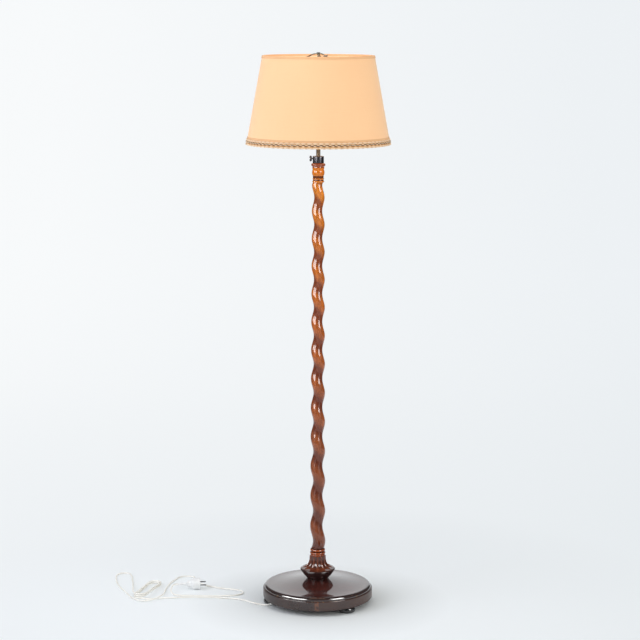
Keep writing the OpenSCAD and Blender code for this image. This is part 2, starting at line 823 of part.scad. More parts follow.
module holder_shell() {
    color("#b58a3c") difference() {
        pipe(shell_z, shell_h, shell_r, shell_r - shell_wall);
        key_way(key_shaft_r + rest_gap, core_r - 2, shell_r + 2);
    }
}

module holder_core() {
    color("ivory") difference() {
        bore(shell_z + 1, core_top_z - shell_z - 1, core_r);
        bore(cap_floor_z, mouth_z, screw_cap_r + 0.3);
        bore(shell_z, 9, stem_r + 2);
        bore(shell_z, cap_floor_z - shell_z - 3, cord_r + 1);
        key_way(key_shaft_r + run_gap, core_r - key_depth, core_r + 2);
    }
}

contact_t = 0.6;
module holder_contacts() {
    color("goldenrod") {
        translate([-3, -2.5, cap_floor_z + eps]) cube([6, 5, contact_t]);
        translate([screw_cap_r - 5, -2, cap_floor_z + eps]) cube([4, 4, contact_t]);
    }
}

module switch_key() {
    blade_w = 13;
    blade_t = 4;
    blade_l = 9;
    color("#2a2622") {
        key_way(key_shaft_r, core_r - key_depth + rest_gap, shell_r + key_reach - blade_l + 1);
        translate([0, -shell_r - key_reach + blade_l, key_z]) rotate([90, 0, 0])
            linear_extrude(blade_l) union() {
                square([blade_w - blade_t, blade_t], center = true);
                for (s = [-1, 1]) translate([s * (blade_w - blade_t) / 2, 0]) circle(blade_t / 2, $fn = 24);
            }
    }
}

module bulb_cap() {
    cap_z = cap_floor_z + contact_t + 0.4;
    color("silver") {
        bore(cap_z + 3, bulb_cap_h - 3, screw_cap_r);
        translate([0, 0, cap_z]) cylinder(h = 3 + eps, r1 = 5, r2 = screw_cap_r - 2);
    }
}

module bulb_glass() {
    base_z = cap_floor_z + contact_t + 0.4 + bulb_cap_h;
    top_z = mouth_z + bulb_h;
    ball_z = top_z - bulb_r;
    neck = screw_cap_r + 0.6;
    color("white") rotate_extrude() polygon(concat(
        [[0, base_z], [neck - 1, base_z], [neck, base_z + 1.5]],
        [for (t = [0.1 : 0.15 : 0.86]) [
            neck + (bulb_r - neck) * (1 - cos(180 * t)) / 2 * 0.98,
            base_z + 1.5 + (ball_z - base_z - 1.5) * t]],
        [for (a = [-5 : 8 : 83]) [bulb_r * cos(a), ball_z + bulb_r * sin(a)]],
        [[0, top_z]]
    ));
}

// ---- Shade ----

arm_fall = 44; // radius where an arm has come down from the hub

module shade_spider() {
    reach = ring_r - ring_wire_r * 0.6;
    color("#4b3a26") {
        difference() {
            translate([0, 0, hub_z]) rotate_extrude() polygon([
                [0, 0], [hub_r - 2, 0], [hub_r, 0.8], [hub_r - 0.5, hub_t - 0.6], [hub_r - 3, hub_t], [0, hub_t]]);
            bore(hub_z - 1, hub_t + 2, stud_r + run_gap);
        }
        for (i = [0 : arm_count - 1]) rotate(arm_turn + i * 360 / arm_count)
            tube_along(smooth([
                [hub_r - 3, 0, hub_z + 1.3], [hub_r + 4, 0, hub_z + 0.4],
                [arm_fall * 0.72, 0, hub_z - hub_rise * 0.66],
                [arm_fall, 0, arm_z + 0.3],
                [reach * 0.6, 0, arm_z + 0.6],
                [reach, 0, rim_z - ring_drop - ring_wire_r * 0.5]
            ], 2), arm_r, 8);
        ring_at(rim_z - ring_drop, ring_r, ring_wire_r);
    }
}

module harp_finial() {
    color("#4b3a26") translate([0, 0, hub_z + hub_t + seat]) difference() {
        rotate_extrude() polygon([
            [0, 0], [finial_r - 0.6, 0], [finial_r, 0.6], [finial_r - 0.6, finial_h - 0.9],
            [finial_r - 2.6, finial_h], [0, finial_h]]);
        translate([0, 0, -1]) cylinder(h = finial_h + 0.7, r = stud_r);
    }
}

module lower_ring() {
    color("#8a8a8a") ring_at(hem_z + ring_drop, low_ring_r, ring_wire_r);
}

// Cone shell that follows the shade, so far outside the fabric's own face, between two heights
module cone_shell(out, t, low, high) {
    low_r = shade_low_r - shade_slope * (low - hem_z) + out;
    high_r = shade_low_r - shade_slope * (high - hem_z) + out;
    rotate_extrude($fn = 180) polygon([[low_r - t, low], [low_r, low], [high_r, high], [high_r - t, high]]);
}

module shade_fabric() {
    color("#ffd9ae") cone_shell(0, fabric_t, hem_z + 0.6, rim_z - 0.6);
}

module shade_lining() {
    color("#fff2e0") cone_shell(-fabric_t - seat, lining_t, hem_z + 0.6, rim_z - 0.6);
}

module rim_binding() {
    wrap = 0.7;
    depth = fabric_t + lining_t + seat * 2;
    color("#fbd0a4") {
        cone_shell(wrap + seat, wrap, rim_z - binding_h, rim_z);
        cone_shell(wrap + seat, depth + wrap * 2 + seat, rim_z - 0.5, rim_z);
    }
}

module hem_band() {
    color("#d9a873") cone_shell(1.1, 1, hem_z + braid_h, hem_z + braid_h + band_h);
}

module hem_braid() {
    out = braid_proud;
    line = concat(
        [[0, 0]],
        [for (a = [-90 : 20 : 70]) [
            out * 0.55 + out * 0.4 * cos(a), braid_h * 0.14 + braid_h * 0.14 * sin(a)]],
        [for (a = [-70 : 20 : 70]) [
            out * 0.6 + out * 0.4 * cos(a), braid_h * 0.45 + braid_h * 0.18 * sin(a)]],
        [for (a = [-70 : 20 : 90]) [
            out * 0.5 + out * 0.4 * cos(a), braid_h * 0.8 + braid_h * 0.18 * sin(a)]],
        [[0, braid_h * 0.98]]
    );
    color("#a9835e") rotate_extrude($fn = 180)
        polygon([for (p = line) [shade_low_r + seat + p[0] - shade_slope * p[1], hem_z + p[1]]]);
}

// ---- Cord, hank and plug ----

hank_e = [cos(hank_turn), sin(hank_turn)];
hank_n = [-sin(hank_turn), cos(hank_turn)];
hank_per_loop = 24;

// Place of a ring in one loop: eight steps round each end and four along each run
function hank_plan(k) =
    k < 4 ? [-hank_run - hank_end_r * cos(k * 22.5), hank_end_r * sin(k * 22.5)] :
    k < 8 ? [-hank_run + (k - 4) * hank_run / 2, hank_end_r] :
    k < 16 ? [hank_run + hank_end_r * sin((k - 8) * 22.5), hank_end_r * cos((k - 8) * 22.5)] :
    k < 20 ? [hank_run - (k - 16) * hank_run / 2, -hank_end_r] :
    [-hank_run - hank_end_r * sin((k - 20) * 22.5), -hank_end_r * cos((k - 20) * 22.5)];

// Each loop climbs onto the one before it along its second run
function hank_climb(k) = let (t = max(0, min(1, (k - 15) / 5))) t * t * (3 - 2 * t);

hank_last = hank_loops * hank_per_loop + 2;
hank_rings = [for (i = [0 : hank_last])
    let (
        k = i % hank_per_loop,
        loop = floor(i / hank_per_loop),
        p = hank_plan(k),
        xy = hank_at + p[0] * hank_e + p[1] * hank_n
    )
    [xy[0], xy[1], floor_z + hank_step * (loop + hank_climb(k))]];

// Direction of the tube in the hank's plan at an angle round its first end
function hank_way(a) = let (xy = sin(a) * hank_e + cos(a) * hank_n) [xy[0], xy[1], 0];

// The hank's ends run straight for one diameter
hank_start = hank_rings[0] - cord_d * hank_way(0);
hank_end = hank_rings[hank_last] + cord_d * hank_way(45);
hank_route = concat([hank_start], hank_rings, [hank_end]);
hank_gap = min([for (i = [0 : hank_last], j = [i + 6 : 1 : hank_last])
    norm(hank_rings[i] - hank_rings[j])]) - cord_d;

relief_dir = [cos(plug_turn), sin(plug_turn), 0];
relief_end = plug_at - relief_l * relief_dir;
lead_line = laid(concat(lead_route, [hank_start]));
tail_line = laid(concat([hank_end], tail_route, [relief_end]));

function way(pts) = [for (i = [1 : len(pts) - 1]) norm(pts[i] - pts[i - 1])] * [for (i = [1 : len(pts) - 1]) 1];
echo(hank_least_gap = hank_gap, cord_rings = len(lead_line) + len(tail_line));
echo(cord_length = way(lead_line) + way(hank_route) + way(tail_line) + relief_l);

module cord_lead() {
    color("white") tube_along(lead_line, cord_r, 8);
}

module cord_hank() {
    color("white") tube_along(hank_route, cord_r, 6, [0, 0, 1]);
}

module cord_tail() {
    color("white") tube_along(tail_line, cord_r, 8, [0, 0, 1]);
}

// Places its children at the back of the plug, with +Z along its axis
module at_plug() {
    translate(plug_at) rotate(plug_turn) rotate([0, 90, 0]) rotate(plug_roll) children();
}

module plug_relief() {
    color("white") at_plug() translate([0, 0, -relief_l])
        cylinder(h = relief_l, r1 = cord_r + 1, r2 = cord_r + 3.6);
}

module plug_body() {
    grip_r = plug_r * 0.55;
    color("white") at_plug() rotate_extrude() polygon(concat(
        [[0, 0], [grip_r, 0]],
        [for (a = [-80 : 20 : 0]) [
            plug_r - 8 + 8 * cos(a), plug_l * 0.3 + 8 + plug_l * 0.2 * sin(a)]],
        [for (a = [0 : 15 : 90]) [plug_r - 1.5 + 1.5 * cos(a), plug_l - 1.5 + 1.5 * sin(a)]],
        [[0, plug_l]]
    ));
}

module plug_pins() {
    tip = 1.2;
    color("silver") at_plug() for (s = [-1, 1]) translate([0, s * pin_pitch / 2, plug_l]) {
        cylinder(h = pin_l - tip, r = pin_r);
        translate([0, 0, pin_l - tip]) cylinder(h = tip, r1 = pin_r, r2 = pin_r - tip);
    }
}

base_disc();
bun_feet();
foot_screws();
carved_knop();
twist_column();
column_capital();
tie_tube();
tie_nut();
tie_washer();
lead_bush();
lead_clip();
clip_screw();
clamp_collar();
guide_bush();
clamp_pad();
thumbscrew();
stop_ring();
stem_tube();
stem_end_bush();
stem_locknut();
harp_saddle();
shade_harp();
holder_cap();
holder_shell();
holder_core();
holder_contacts();
switch_key();
bulb_cap();
bulb_glass();
shade_spider();
harp_finial();
lower_ring();
shade_fabric();
shade_lining();
rim_binding();
hem_band();
hem_braid();
flex_in_stem();
flex_in_column();
cord_lead();
cord_hank();
cord_tail();
plug_relief();
plug_body();
plug_pins();
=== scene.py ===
import bpy, bmesh, math
from mathutils import Matrix, Vector


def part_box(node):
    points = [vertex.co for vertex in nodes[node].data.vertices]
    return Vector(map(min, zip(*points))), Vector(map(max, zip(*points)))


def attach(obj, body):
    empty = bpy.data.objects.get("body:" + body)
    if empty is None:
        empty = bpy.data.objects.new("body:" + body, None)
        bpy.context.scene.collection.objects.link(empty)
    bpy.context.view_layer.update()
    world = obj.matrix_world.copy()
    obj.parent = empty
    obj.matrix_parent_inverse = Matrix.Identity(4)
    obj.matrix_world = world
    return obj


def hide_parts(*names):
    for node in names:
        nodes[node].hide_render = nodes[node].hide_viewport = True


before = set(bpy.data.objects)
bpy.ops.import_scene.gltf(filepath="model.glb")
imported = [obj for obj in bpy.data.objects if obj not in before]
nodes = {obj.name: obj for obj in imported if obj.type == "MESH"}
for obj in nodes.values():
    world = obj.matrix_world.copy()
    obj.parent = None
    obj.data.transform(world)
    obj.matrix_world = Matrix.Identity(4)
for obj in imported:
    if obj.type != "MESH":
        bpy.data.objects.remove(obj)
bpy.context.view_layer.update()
mm = 0.001
turn = math.tau
print("frame loaded,", len(nodes), "nodes")


# shader and mesh helpers

class Wire:  # one value, colour or vector on its way through a material
    def __init__(self, tree, out=None):
        self.tree, self.out = tree, out

    def node(self, kind, settings=None, sockets=None, out=0):
        made = self.tree.nodes.new("ShaderNode" + kind)
        for name, setting in (settings or {}).items():
            if name == "stops":
                stops = made.color_ramp.elements
                while len(stops) < len(setting):
                    stops.new(1)
                for stop, (at, colour) in zip(stops, setting):
                    stop.position, stop.color = at, colour
            else:
                setattr(made, name, setting)
        for name, value in (sockets or {}).items():
            if isinstance(value, Wire):
                self.tree.links.new(value.out, made.inputs[name])
            else:
                made.inputs[name].default_value = value
        return Wire(self.tree, made.outputs[out])

    def also(self, out):  # another output of the same node
        return Wire(self.tree, self.out.node.outputs[out])

    def axes(self):  # a place's x, y and z
        x = self.node("SeparateXYZ", {}, {0: self})
        return x, x.also(1), x.also(2)

    def maths(self, operation, a, b=None, clamp=False):
        sockets = {0: a} if b is None else {0: a, 1: b}
        return self.node("Math", {"operation": operation, "use_clamp": clamp}, sockets)

    def __add__(self, other): return self.maths("ADD", self, other)
    def __radd__(self, other): return self.maths("ADD", other, self)
    def __sub__(self, other): return self.maths("SUBTRACT", self, other)
    def __rsub__(self, other): return self.maths("SUBTRACT", other, self)
    def __mul__(self, other): return self.maths("MULTIPLY", self, other)
    def __rmul__(self, other): return self.maths("MULTIPLY", other, self)
    def __truediv__(self, other): return self.maths("DIVIDE", self, other)
    def __rtruediv__(self, other): return self.maths("DIVIDE", other, self)
    def __pow__(self, other): return self.maths("POWER", self, other)

    def sine(self): return self.maths("SINE", self)
    def size(self): return self.maths("ABSOLUTE", self)
    def held(self): return self.maths("ADD", self, 0.0, clamp=True)
    def over(self, edge, soft): return ((self - edge) / soft + 0.5).held()

    def blend(self, low, high):  # this value mixes two colours
        return self.node("Mix", {"data_type": "RGBA"}, {0: self, 6: low, 7: high}, 2)

    def noise(self, scale, detail=3, rough=0.5):
        grain = {"Vector": self, "Scale": scale, "Detail": detail, "Roughness": rough}
        return self.node("TexNoise", {}, grain)

    def stretched(self, scale):
        return self.node("Mapping", {}, {"Vector": self, "Scale": scale})

    def bump(self, height, strength):
        return self.node("Bump", {}, {"Height": self, "Distance": height, "Strength": strength}, "Normal")


def tint(red, green, blue):  # a screen colour, 0 to 255, as Blender's own
    flat = [c / 255 for c in (red, green, blue)]
    return tuple(c / 12.92 if c < 0.04045 else ((c + 0.055) / 1.055) ** 2.4 for c in flat) + (1,)


def newLook(name):
    look = bpy.data.materials.new(name)
    look.use_nodes = True
    tree = look.node_tree
    return look, tree.nodes["Principled BSDF"], Wire(tree).node("TexCoord", out="Object")


def dress(surface, **sockets):
    for name, value in sockets.items():
        socket = surface.inputs[name.replace("_", " ")]
        if isinstance(value, Wire):
            value.tree.links.new(value.out, socket)
        else:
            socket.default_value = value


def finishMesh(mesh, name, body, look, sharp):  # edges over the sharp angle stay crisp
    data = bpy.data.meshes.new(name)
    mesh.to_mesh(data)
    mesh.free()
    data.shade_smooth()
    data.set_sharp_from_angle(angle=math.radians(sharp))
    data.materials.append(look)
    piece = bpy.data.objects.new(name, data)
    bpy.context.scene.collection.objects.link(piece)
    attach(piece, body)
    return piece


# turns an outline of (radius, height) in mm round the lamp's axis; a ring's outline is a closed loop
def lathe(outline, sides=128, ring=False):
    mesh = bmesh.new()
    verts = [mesh.verts.new((r * mm, 0, z * mm)) for r, z in outline]
    edges = [mesh.edges.new(pair) for pair in zip(verts, verts[1:])]
    if ring:
        edges.append(mesh.edges.new((verts[-1], verts[0])))
    bmesh.ops.spin(mesh, geom=verts + edges, cent=(0, 0, 0), axis=(0, 0, 1), angle=turn, steps=sides,
                   use_merge=True)
    bmesh.ops.remove_doubles(mesh, verts=mesh.verts, dist=0.01 * mm)
    bmesh.ops.recalc_face_normals(mesh, faces=mesh.faces)
    return mesh


def turned(degrees, axis):
    return Matrix.Rotation(math.radians(degrees), 4, axis)


def arc(r, z, wide, high, start, end, steps=10):  # part of an ellipse round (r, z), angles in degrees
    angles = [math.radians(start + (end - start) * i / steps) for i in range(steps + 1)]
    return [(r + wide * math.cos(a), z + high * math.sin(a)) for a in angles]


def slopes(points):  # direction of a smooth curve at each of its points
    found = []
    for i, p in enumerate(points):
        before = p - points[i - 1] if i else None
        after = points[i + 1] - p if i < len(points) - 1 else None
        if before is None or after is None:
            found.append((after or before).normalized())
            continue
        b, a = before.length, after.length
        found.append((before * (a / b) + after * (b / a)) / (a + b))
    return found


def smoothLine(points, steps):  # a curve through every point
    points = [Vector(p) for p in points]
    ways, line = slopes(points), []
    for i in range(len(points) - 1):
        span = (points[i + 1] - points[i]).length
        for k in range(steps):
            t = k / steps
            far = (3 - 2 * t) * t * t
            line.append(points[i] * (1 - far) + points[i + 1] * far
                        + ways[i] * span * t * (1 - t) ** 2 - ways[i + 1] * span * t * t * (1 - t))
    return line + [points[-1]]


def tubeAlong(name, line, radius, body, look, closed=False, sides=3, swell=()):  # in metres
    curve = bpy.data.curves.new(name, "CURVE")
    curve.dimensions = "3D"
    curve.bevel_depth, curve.bevel_resolution = radius, sides
    curve.use_fill_caps = not closed
    strand = curve.splines.new("POLY")
    strand.points.add(len(line) - 1)
    for point, place in zip(strand.points, line):
        point.co = (*place, 1)
    for point, share in zip(strand.points, swell):
        point.radius = share
    strand.use_cyclic_u = closed
    strand.use_smooth = True
    curve.materials.append(look)
    piece = bpy.data.objects.new(name, curve)
    bpy.context.scene.collection.objects.link(piece)
    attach(piece, body)
    return piece


# camera, floor and light

studio = {  # metres, degrees and watts
    "lens": 112.5, "sensor": 36, "cameraAt": (0.006, -6.066, 1.8533), "pitch": 8.995, "roll": 0.1,
    "floorLeft": tint(236, 240, 243), "floorRight": tint(229, 234, 237), "skyLeft": tint(250, 252, 253),
    "skyRight": tint(239, 243, 246), "skyColour": tint(244, 249, 252), "roomColour": tint(250, 250, 252),
    "paperColour": tint(243, 247, 248), "paintedShadowPaper": tint(224, 228, 228), "paintedShadowR": 0.31, "plainFrom": 0.2,
    "paperWide": 1.9, "paperHigh": 4.4, "halfWide": 12, "front": -9, "back": 3.2, "curveR": 2.2,
    "wallHigh": 9, "ambient": 0.59, "darkRoom": 0.1, "keyLight": 41, "fillLight": 35, "topLight": 20,
    "softbox": 105, "panel": 5,
}

camera = bpy.data.cameras.new("camera")
camera.lens, camera.sensor_width = studio["lens"], studio["sensor"]
cameraObject = bpy.data.objects.new("camera", camera)
bpy.context.scene.collection.objects.link(cameraObject)
cameraObject.matrix_world = (Matrix.Translation(studio["cameraAt"])
                             @ turned(90 - studio["pitch"], "X") @ turned(studio["roll"], "Z"))
bpy.context.scene.camera = cameraObject
bpy.context.scene.view_settings.view_transform = "Standard"


def raysOf(tree):  # 1 for rays from the camera, and 1 for those that left a glossy or clear surface
    seen = Wire(tree).node("LightPath", out="Is Camera Ray")
    return seen, (seen.also("Is Glossy Ray") + seen.also("Is Transmission Ray")).held()


def backdropLook():
    look = bpy.data.materials.new("backdrop")
    look.use_nodes = True
    tree = look.node_tree
    tree.nodes.remove(tree.nodes["Principled BSDF"])
    seen, gloss = raysOf(tree)
    place = Wire(tree).node("TexCoord", out="Object")
    x, y, z = place.axes()
    away = place.node("VectorMath", {"operation": "LENGTH"}, {0: place}, "Value")
    plain = (away - studio["plainFrom"]).held()  # near the lamp the floor takes only its shadow and the light
    beside = x.size().over(studio["paperWide"], 0.5)  # the studio is dark beside the paper and above it
    beside = beside.maths("MAXIMUM", beside, z.over(studio["paperHigh"], 0.6))
    # painted shadow: the paper is darker close to the lamp
    paper = away.over(studio["paintedShadowR"], 0.22).blend(studio["paintedShadowPaper"], studio["paperColour"])
    cloth = Wire(tree).node("BsdfDiffuse", {}, {"Color": paper})
    right = ((x + 1.5) / 3).held()
    low = right.blend(studio["floorLeft"], studio["floorRight"])
    high = right.blend(studio["skyLeft"], studio["skyRight"])
    colour = ((y + 0.5) / 5).held().blend(low, high)
    glow = Wire(tree).node("Emission", {}, {"Color": colour, "Strength": 1 - gloss * beside * 0.9})
    share = seen * plain * 0.94 + gloss * plain.maths("MAXIMUM", plain, beside)
    mixed = Wire(tree).node("MixShader", {}, {0: share, 1: cloth, 2: glow})
    tree.links.new(mixed.out, tree.nodes["Material Output"].inputs["Surface"])
    return look


def makeFloor(s):  # a paper sweep: level floor, a curve, then a wall
    mesh = bmesh.new()
    line = [(s["front"], 0)] + arc(s["back"], s["curveR"], s["curveR"], s["curveR"], -90, 0, 9)
    line += [(s["back"] + s["curveR"], s["wallHigh"])]
    verts = [mesh.verts.new((-s["halfWide"], y, z)) for y, z in line]
    edges = [mesh.edges.new(pair) for pair in zip(verts, verts[1:])]
    swept = bmesh.ops.extrude_edge_only(mesh, edges=edges)["geom"]
    swept = [v for v in swept if isinstance(v, bmesh.types.BMVert)]
    bmesh.ops.translate(mesh, verts=swept, vec=(2 * s["halfWide"], 0, 0))
    bmesh.ops.recalc_face_normals(mesh, faces=mesh.faces)
    if next(f for f in mesh.faces).normal.z < 0:
        bmesh.ops.reverse_faces(mesh, faces=mesh.faces)
    data = bpy.data.meshes.new("floor")
    mesh.to_mesh(data)
    mesh.free()
    data.shade_smooth()
    data.materials.append(backdropLook())
    floor = bpy.data.objects.new("floor", data)
    bpy.context.scene.collection.objects.link(floor)


def makeWorld():
    world = bpy.data.worlds.new("studio")
    world.use_nodes = True
    bpy.context.scene.world = world
    tree = world.node_tree
    seen, gloss = raysOf(tree)
    way = Wire(tree).node("TexCoord", out="Generated")
    back = way.axes()[1].over(0.75, 0.1)
    room = studio["darkRoom"] + back * (1 - studio["darkRoom"])  # the studio is dark behind the camera
    glow = tree.nodes["Background"]
    colour = (seen + gloss).held().blend(studio["roomColour"], studio["skyColour"])
    tree.links.new(colour.out, glow.inputs["Color"])
    unseen = 1 - (seen + gloss).held()
    strength = seen + gloss * room + unseen * studio["ambient"]
    tree.links.new(strength.out, glow.inputs["Strength"])


# a soft box that looks at the lamp's axis; one that only sparkles is seen in the varnish and lights nothing
def addLight(name, azimuth, far, high, aim, size, power, sparkle=False, colour=(1, 1, 1)):
    lamp = bpy.data.lights.new(name, "AREA")
    lamp.color, lamp.energy = colour, power
    lamp.shape, lamp.size, lamp.size_y = "RECTANGLE", *size
    box = bpy.data.objects.new(name, lamp)
    bpy.context.scene.collection.objects.link(box)
    a = math.radians(azimuth)
    place = Vector((far * math.sin(a), -far * math.cos(a), high))
    way = Vector((0, 0, aim)) - place
    box.matrix_world = Matrix.Translation(place) @ way.to_track_quat("-Z", "Y").to_matrix().to_4x4()
    box.visible_diffuse, box.visible_glossy = not sparkle, sparkle


makeFloor(studio)
makeWorld()
addLight("keyLeft", -68, far=3.0, high=1.9, aim=1.0, size=(2.0, 2.2), power=studio["keyLight"],
         colour=(0.97, 1.0, 1.12))
addLight("fillRight", 50, far=3.2, high=1.6, aim=1.0, size=(2.0, 2.2), power=studio["fillLight"],
         colour=(1.0, 0.99, 0.95))
addLight("topSoft", -20, far=1.0, high=3.6, aim=1.2, size=(2.0, 2.0), power=studio["topLight"])
softboxes = (("softboxLeft", -44, 2.3, (1.8, 1.7), 1.1), ("softboxRight", 48, 2.35, (1.6, 1.8), 0.95),
             ("softboxSide", -76, 2.3, (1.2, 1.7), 0.7))
for name, azimuth, high, size, share in softboxes:
    power = studio["softbox"] * share
    addLight(name, azimuth, far=3.0, high=high, aim=1.0, size=size, power=power, sparkle=True)
for name, azimuth, size in (("panelLeft", -43, (1.2, 1.8)), ("panelRight", 46, (1.1, 1.8))):
    addLight(name, azimuth, far=3.2, high=0.9, aim=0.9, size=size, power=studio["panel"], sparkle=True)
print("camera, floor and light")


# looks

def grainOf(place, across, along):  # long fibres and open pores that run up the piece
    fibres = place.stretched((across, across, along)).noise(1.0, 5, 0.6)
    pores = place.stretched((across * 6, across * 6, along * 2.5)).noise(1.0, 2, 0.5)
    return fibres, pores


def varnish(surface, colour, rough, coat, grain, depth=0.2, gloss=1.5):  # depth of the grain in mm
    dress(surface, Base_Color=colour, Roughness=rough, Coat_Weight=coat, Coat_Roughness=0.05, Coat_IOR=gloss,
          Specular_IOR_Level=0.1, Normal=grain.bump(depth * mm, 0.3))


def woodLook(name, pale, deep, groove, grooveR, crestR, across, along):
    look, surface, place = newLook(name)
    x, y, z = place.axes()
    reach = (x * x + y * y) ** 0.5
    fibres, pores = grainOf(place, across, along)
    cloud = place.noise(22, 3)
    tone = (fibres * 1.4 - 0.35 + (cloud - 0.5) * 0.9).held()
    colour = tone.blend(deep, pale)
    # darker and less glossy in the grooves: part stain gathered there, part painted shade where the grooves
    # are shut off from light
    stainAndShade = ((crestR * mm - reach) / ((crestR - grooveR) * mm) + (cloud - 0.5) * 0.5).over(0.62, 0.5)
    colour = stainAndShade.blend(colour, groove)
    worn = pores.over(0.68, 0.06) * 0.3
    coat = 1.0 - worn * 0.3 - stainAndShade * 0.75
    varnish(surface, worn.blend(colour, groove), 0.34 + pores * 0.12, coat, fibres * 0.6 + pores * 0.4)
    return look


def metalLook(name, colour, shade, rough, spots=40, tarnish=0.5):
    look, surface, place = newLook(name)
    cloud = place.noise(spots, 4, 0.6)
    fine = place.stretched((900, 900, 220)).noise(1.0, 2)
    dress(surface, Base_Color=(cloud.over(0.52, 0.3) * tarnish).blend(colour, shade), Metallic=1.0,
          Roughness=rough + cloud * 0.14 + fine * 0.05, Normal=fine.bump(0.02 * mm, 0.3))
    return look


def plasticLook(name, colour, shade, rough=0.35, grain=700, relief=0.03, coat=0.0):
    look, surface, place = newLook(name)
    cloud, fine = place.noise(25, 3), place.noise(grain, 2)
    dress(surface, Base_Color=cloud.over(0.55, 0.5).blend(colour, shade), Roughness=rough + fine * 0.12,
          Coat_Weight=coat, Coat_Roughness=0.08, Normal=fine.bump(relief * mm, 0.4))
    return look


def clothLook(name, colour, shade, radius, thread=0.55, relief=0.12, sheen=0.1, sheenRough=0.5, slubs=0.35,
              glow=0.0, inside=0.0):  # radius and inside in metres, thread and relief in mm
    look, surface, place = newLook(name)
    x, y, z = place.axes()
    along = place.maths("ARCTAN2", y, x) * radius
    step = math.pi / (thread * mm)
    warp, weft = (along * step).sine(), (z * step).sine()
    weave = (warp * weft) * 0.5 + 0.5
    slub = place.stretched((18, 18, 700)).noise(1.0, 2) * 0.6
    slub = slub + place.stretched((380, 380, 9)).noise(1.0, 2) * 0.4
    cloud = place.noise(7, 3)
    tone = (weave * 0.22 + slub.over(0.5, 0.5) * slubs + (cloud - 0.5) * 0.5 + 0.1).held()
    # painted light: an emission that stands in for daylight coming through the cloth
    if glow:  # daylight that comes through the cloth, on the inner side
        lit = colour
        if inside:
            lit = (1 - ((x * x + y * y) ** 0.5).over(inside, 0.4 * mm)).blend((0, 0, 0, 1), colour)
        dress(surface, Emission_Color=lit, Emission_Strength=glow)
    dress(surface, Base_Color=tone.blend(colour, shade), Roughness=0.82 + weave * 0.1, Specular_IOR_Level=0.2,
          Sheen_Weight=sheen, Sheen_Roughness=sheenRough,
          Normal=(weave * 0.7 + slub * 0.3).bump(relief * mm, 0.45))
    return look


steelLook = metalLook("zincSteel", tint(176, 178, 180), tint(120, 122, 126), 0.3)
brassLook = metalLook("brass", tint(206, 170, 96), tint(140, 104, 52), 0.24)
nickelLook = metalLook("darkNickel", tint(108, 106, 111), tint(56, 52, 55), 0.16, spots=45, tarnish=0.4)
pinLook = metalLook("pinNickel", tint(196, 196, 198), tint(140, 140, 144), 0.2)
agedLook = metalLook("agedBrass", tint(138, 120, 100), tint(88, 72, 58), 0.3, spots=90, tarnish=0.7)
wireLook = metalLook("darkBrass", tint(146, 138, 122), tint(62, 52, 42), 0.26, spots=120, tarnish=0.8)
porcelainLook = plasticLook("porcelain", tint(238, 236, 230), tint(222, 220, 212), 0.25, 300, 0.02, 0.6)
keyLook = plasticLook("keyPlastic", tint(30, 28, 27), tint(18, 17, 17), 0.35, 500, 0.03, 0.3)
flexLook = plasticLook("whiteFlex", tint(246, 245, 239), tint(236, 232, 222), 0.42, 500, 0.03)
plugLook = plasticLook("plugWhite", tint(240, 241, 240), tint(228, 229, 228), 0.32, 900, 0.03, 0.2)
bushLook = plasticLook("whiteBush", tint(232, 230, 222), tint(214, 212, 204), 0.4)
rubberLook = plasticLook("footBlack", tint(14, 13, 14), tint(22, 20, 20), 0.16, 220, 0.05, 1.0)
opalLook = plasticLook("opalGlass", tint(240, 238, 232), tint(230, 228, 222), 0.2, 150, 0.01, 1.0)

beadWoodLook = woodLook("beadWood", tint(176, 84, 30), tint(122, 52, 20), tint(50, 20, 14), 20.4, 23.2,
                        across=55, along=9)

shadeLook = clothLook("shadeCloth", tint(252, 206, 158), tint(248, 196, 146), 0.19, relief=0.05, sheen=0.3,
                      sheenRough=0.35)
# painted light: the lining and the inner side of the binding glow
liningLook = clothLook("liningCloth", tint(246, 214, 180), tint(238, 200, 164), 0.19, thread=0.4, glow=0.45)
bindingLook = clothLook("bindingCloth", tint(240, 190, 140), tint(226, 170, 122), 0.171, thread=0.7,
                        glow=0.2, inside=0.1686)
bandLook = clothLook("bandCloth", tint(234, 186, 138), tint(220, 168, 120), 0.219, thread=0.8)
tapeLook = clothLook("braidTape", tint(216, 162, 108), tint(190, 136, 84), 0.22, thread=1.2, relief=0.25)
palePlyLook = clothLook("palePly", tint(255, 232, 198), tint(240, 206, 166), 0.218, thread=0.9, relief=0.2)
darkPlyLook = clothLook("darkPly", tint(150, 124, 100), tint(96, 78, 62), 0.22, thread=0.9, relief=0.2,
                        slubs=1.0)
print("plain looks")


# cord and plug

